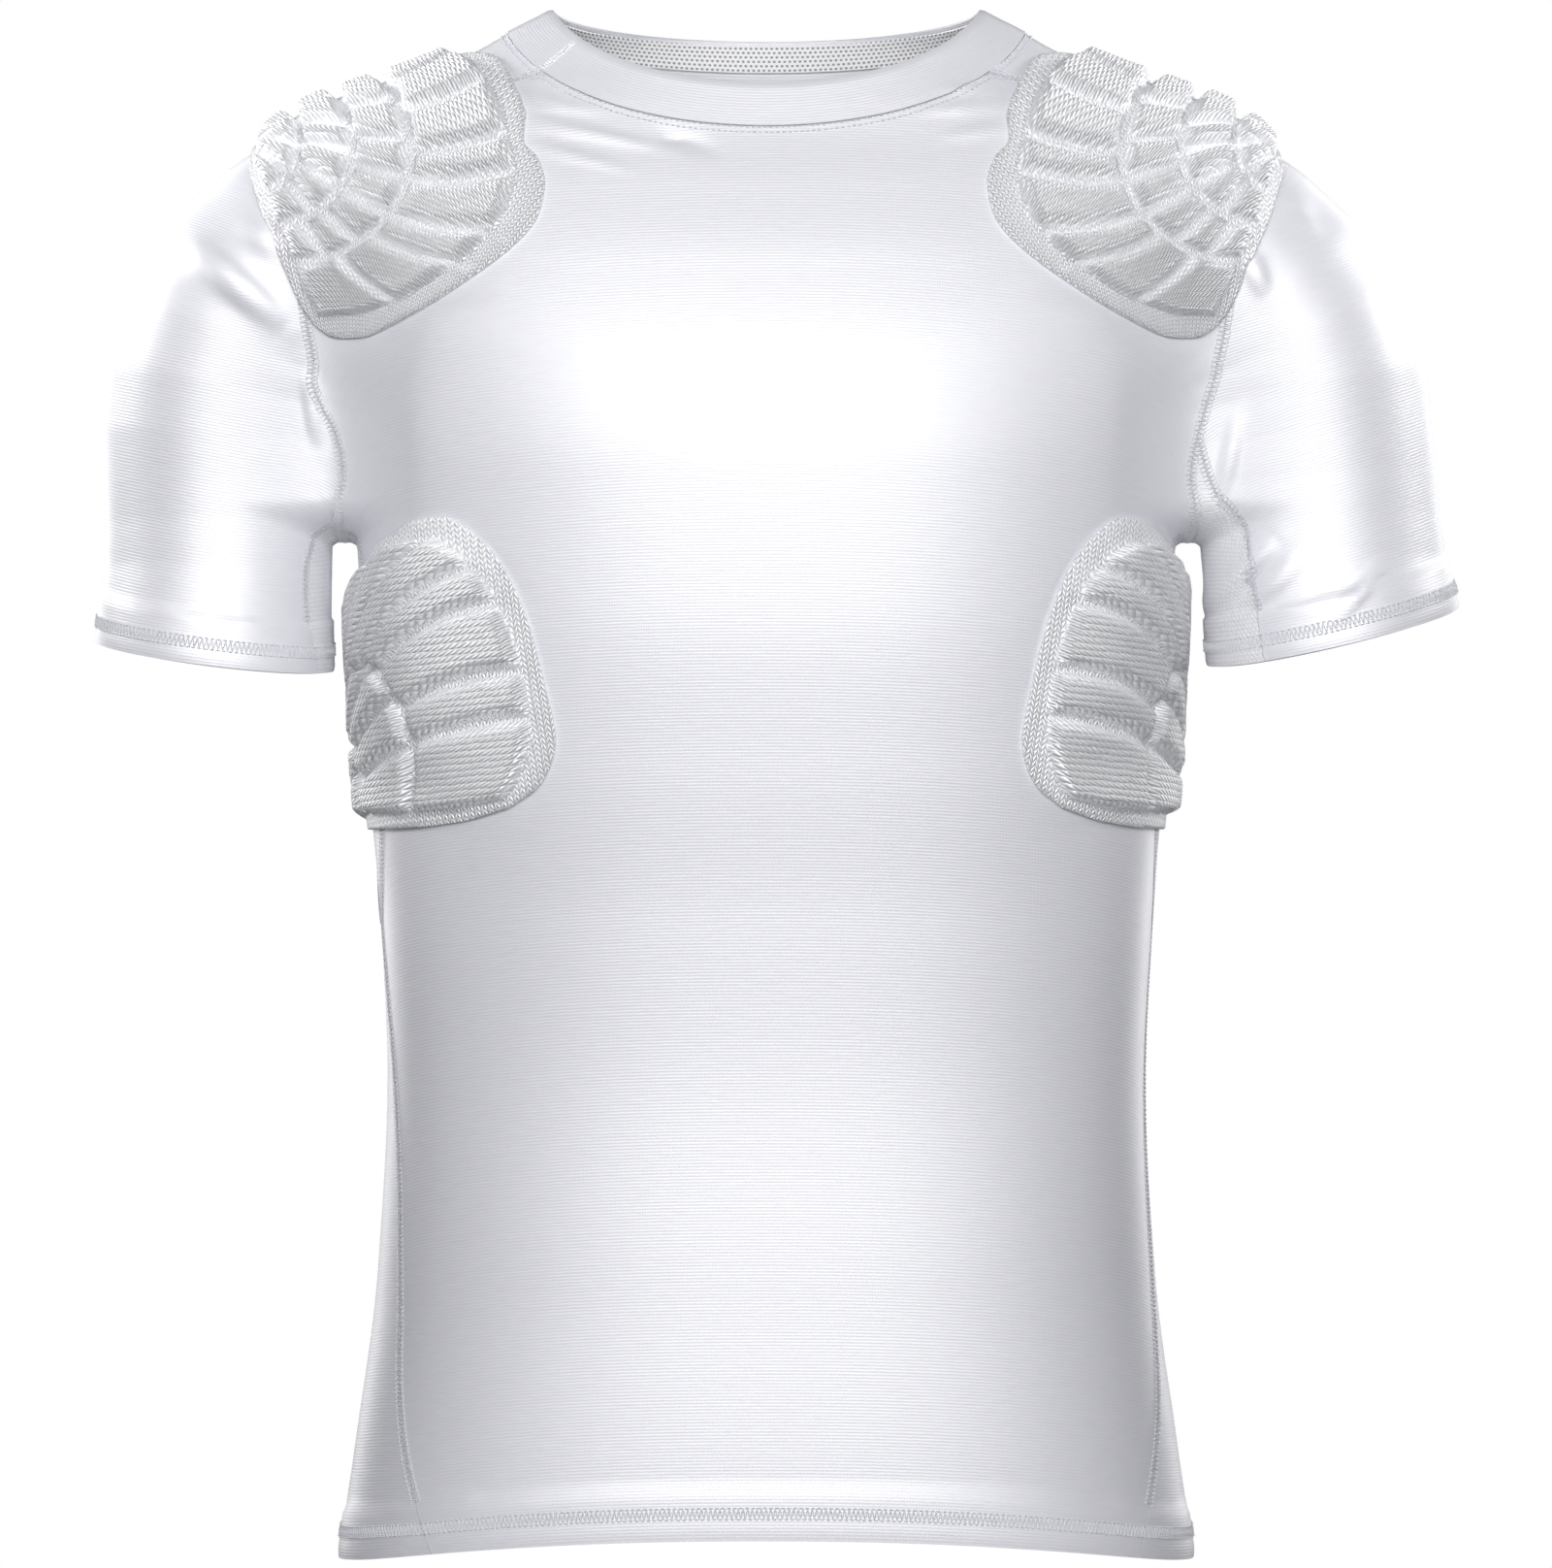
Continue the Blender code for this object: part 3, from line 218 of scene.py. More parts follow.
armhole = table(
    ("out", "fore", "height"),
    (0.1890, -0.026, -0.2260),
    (0.1905, -0.046, -0.2060),
    (0.1960, -0.058, -0.1800),
    (0.2030, -0.062, -0.1500),
    (0.2080, -0.054, -0.1100),
    (0.2120, -0.036, -0.0720),
    (0.2140, 0.000, -0.0540),
    (0.2120, 0.036, -0.0680),
    (0.2070, 0.060, -0.1080),
    (0.2010, 0.068, -0.1500),
    (0.1950, 0.060, -0.1850),
    (0.1900, 0.044, -0.2080),
    (0.1890, 0.024, -0.2260),
)
armholeShoulderRow = 5
armpit = {"points": 21, "out": (0.175, 0.225), "height": (-0.250, -0.190)}
gusset = {"tipWidth": 0.004, "spread": 0.55, "heights": (-0.375, -0.345, -0.290),
          "right": {"front": 17.0, "back": -13.0}, "left": {"front": 12.0, "back": -20.0}}
sideSeam = {
    "right": table(
        ("height", "angle"),
        (-0.700, 46.0), (-0.688, 44.0), (-0.674, 41.0), (-0.657, 37.0), (-0.634, 32.0),
        (-0.601, 27.0), (-0.568, 24.0), (-0.523, 20.5), (-0.478, 15.5), (-0.438, 11.0), (-0.400, 8.0),
    ),
    "left": table(
        ("height", "angle"),
        (-0.700, 36.0), (-0.683, 33.0), (-0.657, 27.0), (-0.634, 21.5), (-0.601, 15.0),
        (-0.568, 11.0), (-0.523, 9.0), (-0.478, 7.0), (-0.438, 4.5), (-0.400, 2.5),
    ),
}
sideRows = (-0.642, -0.615, -0.575, -0.525, -0.475, -0.435, -0.400)
neckSeam = {"halfWidth": 0.1165, "side": 0.000, "frontDrop": 0.0480, "backDrop": 0.0170}
neckTop = {"halfWidth": 0.0960, "side": 0.0110, "frontDrop": 0.0385, "backDrop": 0.0070}
neckSideRounding = 0.16
shoulderSeam = {"out": 0.099, "bow": (0, -0.004, 0.012)}
sleeveBow = 0.006  # of the seams of the sleeve caps, to the front and to the back
hemPoints = 90
steps = {"gusset": 6, "underarm": 4, "notch": 2, "armholeFront": 8, "armholeBack": 8, "shoulder": 4,
         "neckFront": 12, "neckBack": 14, "sleeve": 9}


def smoothBetween(at, values, where):
    at, values = np.asarray(at, float), np.asarray(values, float)
    step = np.diff(at)
    slope = np.diff(values) / step
    rate = np.zeros(len(at))
    product, total = slope[:-1] * slope[1:], slope[:-1] + slope[1:]
    rate[1:-1] = np.where(product > 0, 2 * product / np.where(total == 0, 1, total), 0)
    rate[0], rate[-1] = slope[0], slope[-1]
    i = np.clip(np.searchsorted(at, where) - 1, 0, len(step) - 1)
    t = np.clip((where - at[i]) / step[i], 0, 1)
    return (values[i] * (1 + 2 * t) * (1 - t) ** 2 + values[i + 1] * t * t * (3 - 2 * t)
            + step[i] * (rate[i] * t * (1 - t) ** 2 - rate[i + 1] * t * t * (1 - t)))


def lengthsAlong(points):
    return np.concatenate([[0], np.cumsum(np.linalg.norm(np.diff(points, axis=0), axis=1))])


def evenly(points, count):  # the line again, as count + 1 points at even distances
    along = lengthsAlong(points)
    at = np.linspace(0, along[-1], count + 1)
    return np.stack([np.interp(at, along, points[:, k]) for k in range(3)], axis=1)


def curveThrough(points, count=120):  # the same, along a smooth curve through the points
    points = np.asarray(points, float)
    along = lengthsAlong(points)
    at = np.linspace(0, along[-1], count + 1)
    return np.stack([smoothBetween(along, points[:, k], at) for k in range(3)], axis=1)


def stationsOf(side):
    rows = arm[side]
    points = np.stack([sideSign[side] * rows["out"], rows["fore"], rows["height"]], axis=1)
    along = lengthsAlong(points)
    radius = smoothBetween(along, rows["radius"], np.linspace(0, along[-1], armStations))
    return curveThrough(points, armStations - 1), radius


stations = {side: stationsOf(side) for side in sideSign}


def torsoAt(height, forward):  # half width, depth and squareness of the level section there
    width, front, back, power = (smoothBetween(torso["height"], torso[name], height)
                                 for name in ("halfWidth", "front", "back", "squareness"))
    return width, np.where(forward, front, back), power


def torsoField(p):  # about how far a point lies outside the body of the shirt
    width, depth, power = torsoAt(p[:, 2], p[:, 1] < 0)
    share = ((np.abs(p[:, 0]) / width) ** power + (np.abs(p[:, 1]) / depth) ** power) ** (1 / power) + 1e-9
    reach = np.hypot(p[:, 0], p[:, 1])
    return reach - reach / share


def armField(p, side):
    centre, radius = stations[side]
    step = np.diff(centre, axis=0)
    away = p[:, None, :] - centre[None, :-1, :]
    t = np.clip((away * step).sum(2) / (step * step).sum(1), 0, 1)
    away = away - t[..., None] * step
    return (np.sqrt((away * away).sum(2)) - radius[:-1] - t * np.diff(radius)).min(1)


foldEnd = 0.04  # share of a fold's length over which each end stays level


def foldRise(p):
    rise = np.zeros(len(p))
    for x0, z0, x1, z1, half, height, face in zip(*folds.values()):
        dx, dz = x1 - x0, z1 - z0
        t = np.clip(((p[:, 0] - x0) * dx + (p[:, 2] - z0) * dz) / (dx * dx + dz * dz), 0, 1)
        away = np.hypot(p[:, 0] - x0 - t * dx, p[:, 2] - z0 - t * dz)
        ridge = height * np.exp(-((away / half) ** 2)) * np.sin(np.pi * np.clip(t, foldEnd, 1 - foldEnd))
        rise += np.where(p[:, 1] * face > 0, ridge, 0.0)
    return rise


def bodyField(p):  # negative inside the space that the shirt encloses
    body = torsoField(p)
    sleeve = np.empty(len(p))
    for side, here in (("right", p[:, 0] < 0), ("left", p[:, 0] >= 0)):
        if here.any():
            sleeve[here] = armField(p[here], side)
    width = smoothBetween(bridge["height"], bridge["width"], p[:, 2])
    near = np.maximum(width - np.abs(body - sleeve), 0) / width
    return np.minimum(body, sleeve) - near * near * width / 4 - foldRise(p)


def slopeOf(p, step=0.0006):
    shifts = np.concatenate([np.zeros((1, 3)), step * np.eye(3)])
    values = bodyField((p[None] + shifts[:, None]).reshape(-1, 3)).reshape(4, -1)
    return values[0], ((values[1:] - values[0]) / step).T


settling = {"slope": 0.05, "stride": 0.012, "close": 2e-6}


def settle(points, rounds=10):  # onto the shirt's inner surface
    p = np.array(points, float).reshape(-1, 3)
    for _ in range(rounds):
        away, slope = slopeOf(p)
        move = slope * (away / np.maximum((slope * slope).sum(1), settling["slope"]))[:, None]
        far = np.linalg.norm(move, axis=1)
        p -= move * np.minimum(1, settling["stride"] / np.maximum(far, 1e-9))[:, None]
        if far.max() < settling["close"]:
            break
    return p.reshape(np.shape(points))


def outward(points, step=0.0012):
    p = np.array(points, float).reshape(-1, 3)
    slope = slopeOf(p, step)[1] + slopeOf(p, -step)[1]
    return (slope / np.linalg.norm(slope, axis=1)[:, None]).reshape(np.shape(points))


def torsoPoint(side, angle, height):  # of a level section, at an angle from the side towards the front
    height, turn = np.asarray(height, float), np.radians(np.asarray(angle, float))
    width, depth, power = torsoAt(height, turn > 0)
    x = sideSign[side] * width * np.sign(np.cos(turn)) * np.abs(np.cos(turn)) ** (2 / power)
    y = -depth * np.sign(np.sin(turn)) * np.abs(np.sin(turn)) ** (2 / power)
    return np.stack([x, y, height + 0 * turn], axis=-1)


sight = {"depth": 0.16, "above": 0.06, "reach": 0.17, "steps": 1200}


def seenFrom(face, side, out, other):  # where a line from the front, back or above first meets the shirt
    x = sideSign[side] * out
    start, way = {"front": ((x, -sight["depth"], other), (0.0, 1.0, 0.0)),
                  "back": ((x, sight["depth"], other), (0.0, -1.0, 0.0)),
                  "top": ((x, other, sight["above"]), (0.0, 0.0, -1.0))}[face]
    start, way = np.array(start), np.array(way)
    along = np.linspace(0, sight["reach"], sight["steps"])
    inside = bodyField(start + along[:, None] * way)
    first = along[np.argmax(inside < 0)] if (inside < 0).any() else along[np.argmin(inside)]
    return start + first * way


def seamLine(points, count):
    return settle(evenly(settle(curveThrough(points)), count))


def neckLine(neck, angles):  # 0 degrees is the wearer's left side and 90 the front
    turn = np.radians(angles)
    swing = np.sqrt(np.sin(turn) ** 2 + neckSideRounding ** 2) - neckSideRounding
    swing /= math.sqrt(1 + neckSideRounding ** 2) - neckSideRounding
    x = neck["halfWidth"] * np.cos(turn)
    z = neck["side"] - np.where(np.sin(turn) > 0, neck["frontDrop"], neck["backDrop"]) * swing
    width, depth, _ = torsoAt(z, np.sin(turn) > 0)
    y = -np.sign(np.sin(turn)) * depth * np.sqrt(np.clip(1 - (x / width) ** 2, 0, 1))
    return np.stack([x, y, z], axis=-1)


def coons(low, high, start, end):  # a sheet spanned between four lines
    n, m = len(low), len(start)
    s, t = np.linspace(0, 1, n)[None, :, None], np.linspace(0, 1, m)[:, None, None]
    corners = (1 - s) * (1 - t) * low[0] + s * (1 - t) * low[-1] + (1 - s) * t * high[0] + s * t * high[-1]
    return (1 - t) * low[None] + t * high[None] + (1 - s) * start[:, None] + s * end[:, None] - corners


def stretched(sheet, factor):  # the sheet again with each step cut into factor steps
    for axis in (0, 1):
        sheet = np.moveaxis(sheet, axis, 0)
        n = len(sheet)
        at = np.linspace(0, n - 1, (n - 1) * factor + 1)
        i = np.minimum(at.astype(int), n - 2)
        t = (at - i)[:, None, None]
        before, after = sheet[np.maximum(i - 1, 0)], sheet[np.minimum(i + 2, n - 1)]
        a, b = sheet[i], sheet[i + 1]
        bend = 2 * before - 5 * a + 4 * b - after + t * (3 * (a - b) + after - before)
        sheet = a + 0.5 * t * (b - before + t * bend)
        sheet = np.moveaxis(sheet, 0, axis)
    return sheet


def patch(low, high, start, end, factor, rounds=30):  # a sheet between four seams, on the form
    rough = settle(coons(low[::factor], high[::factor], start[::factor], end[::factor]))
    for _ in range(rounds):
        around = (rough[:-2, 1:-1] + rough[2:, 1:-1] + rough[1:-1, :-2] + rough[1:-1, 2:]) / 4
        rough[1:-1, 1:-1] = settle(0.5 * rough[1:-1, 1:-1] + 0.5 * around, rounds=2)
    fine = stretched(rough, factor)
    fine += coons(low - fine[0], high - fine[-1], start - fine[:, 0], end - fine[:, -1])
    return settle(fine, rounds=6)


print("form ready")

# Seams, each as fine as the pieces on both sides of it


def halve(valueAt, low, high, rounds=24):
    low, high = np.full(armpit["points"], low), np.full(armpit["points"], high)
    for _ in range(rounds):
        middle = (low + high) / 2
        above = valueAt(middle) > 0
        low, high = np.where(above, middle, low), np.where(above, high, middle)
    return (low + high) / 2


def armpitLine(side, foreFrom, foreTo):
    fore = np.linspace(foreFrom, foreTo, armpit["points"])
    height = np.full(armpit["points"], sum(armpit["height"]) / 2)

    def points(out, height):
        return np.stack([sideSign[side] * out, fore, height], axis=1)

    def armOverTorso(out):
        return armField(points(out, height), side) - torsoField(points(out, height))

    for _ in range(4):
        out = halve(armOverTorso, *armpit["out"])
        height = halve(lambda z: bodyField(points(out, z)), *armpit["height"])
    return points(out, height)


def armholeSeams(side, k):
    points = np.stack([sideSign[side] * armhole["out"], armhole["fore"], armhole["height"]], axis=1)
    under = armpitLine(side, armhole["fore"][-1], armhole["fore"][0])
    points[0], points[-1] = under[-1], under[0]
    front = settle(curveThrough(points[:armholeShoulderRow + 1]))
    back = settle(curveThrough(points[armholeShoulderRow:])[::-1])
    cut = int(round(cuff[side]["notch"] * (len(front) - 1)))
    backCut = int(round(cuff[side]["backNotch"] * (len(back) - 1)))
    return {
        "under": settle(evenly(under, steps["underarm"] * k)),
        "frontLow": settle(evenly(front[:cut + 1], steps["notch"] * k)),
        "frontHigh": settle(evenly(front[cut:], steps["armholeFront"] * k)),
        "backLow": settle(evenly(back[:backCut + 1], steps["notch"] * k)),
        "backHigh": settle(evenly(back[backCut:], steps["armholeBack"] * k)),
    }


def hemHeight(angle):
    return -shirt["bodyLength"] + shirt["hemArch"] * np.sin(np.radians(np.abs(angle))) ** 2


def seamAngle(side, height):  # of the side seam, round the body
    return smoothBetween(sideSeam[side]["height"], sideSeam[side]["angle"], height)


def sideSeams(side, k, holes):
    bottom = float(seamAngle(side, -shirt["bodyLength"]))
    rows = np.concatenate([hemHeight(bottom) + np.array([0, shirt["hemDepth"]]), sideRows])
    heights = np.interp(np.linspace(0, len(rows) - 1, (len(rows) - 1) * k + 1), np.arange(len(rows)), rows)
    below = torsoPoint(side, seamAngle(side, heights), heights)
    edge, tip = gusset[side], float(sideSeam[side]["angle"][-1])
    edges = {}
    for face, corner in (("front", holes["frontLow"][0]), ("back", holes["backLow"][0])):
        angles = (tip + gusset["spread"] * (edge[face] - tip), edge[face], edge[face])
        points = [below[-1], *(torsoPoint(side, *spot) for spot in zip(angles, gusset["heights"])), corner]
        if face == "back":
            points[0] = settle(below[-1:] + np.array([0.0, gusset["tipWidth"], 0.0]))[0]
        edges[face] = seamLine(points, steps["gusset"] * k)
    return below, edges


def cuffLine(side, angles):
    end, sign = cuff[side], sideSign[side]
    turn = np.radians(angles)[:, None]
    inner, fore = np.array([-sign, 0, -end["tilt"]]), np.array([0, -1, -end["foreTilt"]])
    middle = np.array([sign * end["out"], cuff["fore"], end["height"]])
    settled = settle(middle + cuff["radius"] * (np.cos(turn) * inner + np.sin(turn) * fore))
    for _ in range(3):
        offset = settled - middle
        settled[:, 2] = middle[2] + (-sign * offset[:, 0]) * -end["tilt"] + offset[:, 1] * end["foreTilt"]
        settled = settle(settled)
    return settled


# Cloth walls


borders = {"low": (np.s_[0], np.s_[1]), "high": (np.s_[-1], np.s_[-2]),
           "start": (np.s_[:, 0], np.s_[:, 1]), "end": (np.s_[:, -1], np.s_[:, -2])}


def partSeams(sheet, edges):  # each of these edges drawn back by half a seam's gap
    shift = np.zeros_like(sheet)
    for border, inside in (borders[edge] for edge in edges):
        way = sheet[inside] - sheet[border]
        shift[border] += shirt["seamGap"] / 2 * way / np.linalg.norm(way, axis=-1, keepdims=True)
    return shift


def wallFaces(rows, columns, ring=False):  # both sides and the rims of a wall
    size = rows * columns
    grid = np.arange(size).reshape(rows, columns)
    if ring:
        grid = np.concatenate([grid, grid[:, :1]], axis=1)
    a, b, d, e = grid[:-1, :-1], grid[:-1, 1:], grid[1:, :-1], grid[1:, 1:]
    faces = [(a, d, e, b), (size + a, size + b, size + e, size + d)]
    rims = [(grid[0], False), (grid[-1], True), (grid[:, 0], True), (grid[:, -1], False)]
    for rim, turned in rims[:2] if ring else rims:
        a, b = rim[:-1], rim[1:]
        faces.append((a, size + a, size + b, b) if turned else (a, b, size + b, size + a))
    return np.concatenate([np.stack(corners, -1).reshape(-1, 4) for corners in faces])


def faced(points, faces):  # turned so that the faces point out of the wall
    p = points[faces]
    volume = (np.cross(p[:, 1] - p[:, 0], p[:, 2] - p[:, 0]) * p[:, 0]).sum()
    if faces.shape[1] == 4:
        volume += (np.cross(p[:, 2] - p[:, 0], p[:, 3] - p[:, 0]) * p[:, 0]).sum()
    return faces if volume > 0 else faces[:, ::-1]


def meshPiece(name, points, faces, look, cloth, relief=None):
    mesh = bpy.data.meshes.new(name)
    mesh.from_pydata(points, [], faces.tolist())
    corners = np.empty(len(mesh.loops), dtype=np.int32)
    mesh.loops.foreach_get("vertex_index", corners)
    for label, values in (("cloth", cloth), ("relief", relief)):  # relief: how far a cell has risen
        if values is not None:
            layer = mesh.uv_layers.new(name=label)
            layer.data.foreach_set("uv", values[corners].astype(np.float32).ravel())
    mesh.shade_smooth()
    mesh.set_sharp_from_angle(angle=math.radians(shirt["sharpAngle"]))
    mesh.materials.append(looks[look])
    piece = bpy.data.objects.new(name, mesh)
    bpy.context.scene.collection.objects.link(piece)
    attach(piece, "root")
    "knit" if look == "thread" else look
    return piece


def lengthsOf(sheet, axis):  # metres from the first row or column
    sizes = np.linalg.norm(np.diff(sheet, axis=axis), axis=2)
    return np.cumsum(np.pad(sizes, ((1, 0), (0, 0)) if axis == 0 else ((0, 0), (1, 0))), axis=axis)


def clothGrid(sheet):  # metres along the rows, from the middle, and up the columns
    across = lengthsOf(sheet, 1)
    return across - across[:, across.shape[1] // 2][:, None], lengthsOf(sheet, 0)


# Each piece's cut, laid flat: the box it is cut from, in metres, and its own area
cuts = {
    "frontPanel": {"flat": (0.470, 0.670), "area": 0.260},
    "backPanel": {"flat": (0.675, 0.785), "area": 0.333},
    "sleeveCap_right": {"flat": (0.370, 0.258), "area": 0.0547},
    "sleeveCap_left": {"flat": (0.355, 0.243), "area": 0.0520},
    "sleeveStrip_right": {"flat": (0.123, 0.110), "area": 0.0049},
    "sleeveStrip_left": {"flat": (0.137, 0.116), "area": 0.0057},
    "sideGusset_right": {"flat": (0.070, 0.201), "area": 0.0101},
    "sideGusset_left": {"flat": (0.074, 0.204), "area": 0.0105},
    "collarBand": {"flat": (0.634, 0.0245), "area": 0.0132},
    "neckTape": {"flat": (0.286, 0.0140), "area": 0.0035},
}


def walled(name, inner, outer, look, grid, relief=None, ring=False):  # a closed wall between two sheets
    points = np.concatenate([inner.reshape(-1, 3), outer.reshape(-1, 3)])
    cloth = np.concatenate([np.stack(grid, 2).reshape(-1, 2)] * 2)
    piece = meshPiece(name, points, faced(points, wallFaces(*inner.shape[:2], ring)), look, cloth, relief)
    name in cuts
    print(name, "made,", len(piece.data.polygons), "faces")
    return piece


def clothWall(name, sheet, look, edges=(), ring=False, hem=False, wall=None):
    across, up = clothGrid(sheet)
    thick = np.full(sheet.shape[:2], shirt["clothWall"] if wall is None else wall)
    if hem:
        fall = np.clip((up - shirt["hemDepth"]) / shirt["hemStep"], 0, 1)
        thick = shirt["hemWall"] + (shirt["clothWall"] - shirt["hemWall"]) * fall * fall * (3 - 2 * fall)
        thick = np.where(up < shirt["rimDepth"], thick - shirt["rimRound"], thick)
    inner = sheet + partSeams(sheet, edges)
    outer = inner + outward(sheet) * thick[..., None]
    return walled(name, inner, outer, look, (across, up), ring=ring)


# Materials. Every weave is drawn from the cloth's own coordinates, in metres.


def link(material, source, target):
    material.node_tree.links.new(source, target)


class Wire:  # a socket that can be added, multiplied and so on, each time by its own Math node
    def __init__(self, tree, socket):
        self.tree, self.socket = tree, socket

    def use(self, operation, *others, clamp=False, swapped=False):
        node = self.tree.nodes.new("ShaderNodeMath")
        node.operation, node.use_clamp = operation, clamp
        values = (*others, self) if swapped else (self, *others)
        for socket, value in zip(node.inputs, values):
            if isinstance(value, Wire):
                self.tree.links.new(value.socket, socket)
            else:
                socket.default_value = value
        return Wire(self.tree, node.outputs[0])

    def __add__(self, other):
        return self.use("ADD", other)

    def __sub__(self, other):
        return self.use("SUBTRACT", other)

    def __rsub__(self, other):
        return self.use("SUBTRACT", other, swapped=True)

    def __mul__(self, other):
        return self.use("MULTIPLY", other)

    def __truediv__(self, other):
        return self.use("DIVIDE", other)

    def split(self):  # the first two parts of a vector
        parts = self.tree.nodes.new("ShaderNodeSeparateXYZ")
        self.tree.links.new(self.socket, parts.inputs[0])
        return Wire(self.tree, parts.outputs[0]), Wire(self.tree, parts.outputs[1])


def noiseOn(tree, vector, scale, detail):
    noise = tree.nodes.new("ShaderNodeTexNoise")
    noise.inputs["Scale"].default_value, noise.inputs["Detail"].default_value = scale, detail
    tree.links.new(vector, noise.inputs["Vector"])
    return Wire(tree, noise.outputs["Fac"])


def newGroup(name, vector, values, outputs):
    group = bpy.data.node_groups.new(name, "ShaderNodeTree")
    group.interface.new_socket(name=vector, in_out="INPUT", socket_type="NodeSocketVector")
    for label, value in values.items():
        socket = group.interface.new_socket(name=label, in_out="INPUT", socket_type="NodeSocketFloat")
        socket.default_value = value
    for label in outputs:
        group.interface.new_socket(name=label, in_out="OUTPUT", socket_type="NodeSocketFloat")
    source, end = group.nodes.new("NodeGroupInput"), group.nodes.new("NodeGroupOutput")
    return group, {label: Wire(group, source.outputs[label]) for label in (vector, *values)}, end


def putOut(group, end, **wires):
    for label, wire in wires.items():
        group.links.new(wire.socket, end.inputs[label])
    return group


fullTurn, halfTurn = 6.2832, 3.1416
farRow = 1000.0  # keeps counted rows and columns above zero
fineKnit = {"wale": 0.0007, "course": 0.0014, "bands": 0.5, "waleRise": 0.25, "courseShade": 0.12,
            "streakScale": 420.0, "streakDetail": 3.0, "streakStretch": (0.25, 1.0, 1.0), "streakRise": 1.6,
            "streakShade": 0.9}


def fineKnitGroup():  # columns of tiny stitches, with faint bands across
    values = {"Wale": fineKnit["wale"], "Course": fineKnit["course"], "Band Strength": fineKnit["bands"]}
    group, given, end = newGroup("fineKnit", "Cloth", values, ("Height", "Shade"))
    u, v = given["Cloth"].split()
    wale = (u / given["Wale"] * fullTurn).use("SINE")
    course = (v / given["Course"] * fullTurn).use("SINE")
    stretch = group.nodes.new("ShaderNodeVectorMath")
    stretch.operation = "MULTIPLY"
    stretch.inputs[1].default_value = fineKnit["streakStretch"]
    group.links.new(given["Cloth"].socket, stretch.inputs[0])
    streak = noiseOn(group, stretch.outputs[0], fineKnit["streakScale"], fineKnit["streakDetail"]) - 0.5
    rise = wale * fineKnit["waleRise"] + course * given["Band Strength"]
    return putOut(group, end, Height=rise + streak * fineKnit["streakRise"],
                  Shade=streak * fineKnit["streakShade"] + course * fineKnit["courseShade"])


ropeRibs = {"rib": 0.0028, "twist": 0.0027, "wobbleScale": 160.0, "wobbleDetail": 2.0, "wobble": 0.45,
            "lean": 1.3, "roundness": 0.8, "grooveWidth": 0.5}


def ropeKnitGroup():  # coarse ribs, each twisted like a rope; the second output is painted shade, dark between the strands
    values = {"Rib": ropeRibs["rib"], "Twist": ropeRibs["twist"]}
    group, given, end = newGroup("ropeKnit", "Cloth", values, ("Height", "Groove"))
    u, v = given["Cloth"].split()
    wobble = noiseOn(group, given["Cloth"].socket, ropeRibs["wobbleScale"], ropeRibs["wobbleDetail"])
    row = v / given["Rib"] + (wobble - 0.5) * ropeRibs["wobble"]
    across = row.use("FRACT") - 0.5  # -0.5 to 0.5 over one rib
    rib = (1.0 - across * across * 4.0).use("MAXIMUM", 0.0).use("POWER", ropeRibs["roundness"])
    lay = u / given["Twist"] + across * ropeRibs["lean"]
    height = rib * (lay * halfTurn).use("SINE").use("ABSOLUTE")
    groove = height.use("MAXIMUM", 0.0).use("POWER", ropeRibs["grooveWidth"])
    return putOut(group, end, Height=height, Groove=groove.use("SUBTRACT", 1.0, clamp=True, swapped=True))


flatStitch = {"wale": 0.0030, "course": 0.0026, "slant": 1.6, "legRoundness": 0.7, "sideRoundness": 0.5}


def flatKnitGroup():  # small V stitches side by side; the second output is painted shade, dark between the stitch legs
    values = {"Wale": flatStitch["wale"], "Course": flatStitch["course"]}
    group, given, end = newGroup("flatKnit", "Cloth", values, ("Height", "Groove"))
    u, v = given["Cloth"].split()
    column = (u / given["Wale"] + farRow).use("FRACT")
    fold = (column - 0.5).use("ABSOLUTE")  # 0 in the middle of the V, 0.5 at its sides
    row = v / given["Course"] + fold * flatStitch["slant"]
    leg = (row * halfTurn).use("SINE").use("ABSOLUTE").use("POWER", flatStitch["legRoundness"])
    side = (fold * fullTurn).use("SINE").use("MAXIMUM", 0.0).use("POWER", flatStitch["sideRoundness"])
    height = leg * side
    return putOut(group, end, Height=height, Groove=1.0 - height)


meshHoles = {"pitch": 0.0022, "hole": 0.3, "rowShare": 0.85, "softEdge": 0.10}


def holeMeshGroup():  # rows of small round holes, every second row shifted
    values = {"Pitch": meshHoles["pitch"], "Hole": meshHoles["hole"]}
    group, given, end = newGroup("holeMesh", "Cloth", values, ("Height", "Hole"))
    u, v = given["Cloth"].split()
    row = v / (given["Pitch"] * meshHoles["rowShare"])
    shift = (row + farRow).use("FLOOR").use("MODULO", 2.0) * 0.5
    x = (u / given["Pitch"] + shift + farRow).use("FRACT") - 0.5
    y = (row + farRow).use("FRACT") - 0.5
    away = (x * x + y * y).use("SQRT")
    hole = ((given["Hole"] - away) / meshHoles["softEdge"]).use("ADD", 0.5, clamp=True)
    return putOut(group, end, Hole=hole, Height=1.0 - hole)


unevenness = {"scale": 9.0, "detail": 4.0, "amount": 0.24}


def unevenWhiteGroup():  # slow random unevenness of the white, lighter and darker in soft patches
    group, given, end = newGroup("unevenWhite", "Place", {"Scale": unevenness["scale"]}, ("Tone",))
    tone = noiseOn(group, given["Place"].socket, unevenness["scale"], unevenness["detail"])
    group.links.new(given["Scale"].socket, tone.socket.node.inputs["Scale"])
    return putOut(group, end, Tone=tone)


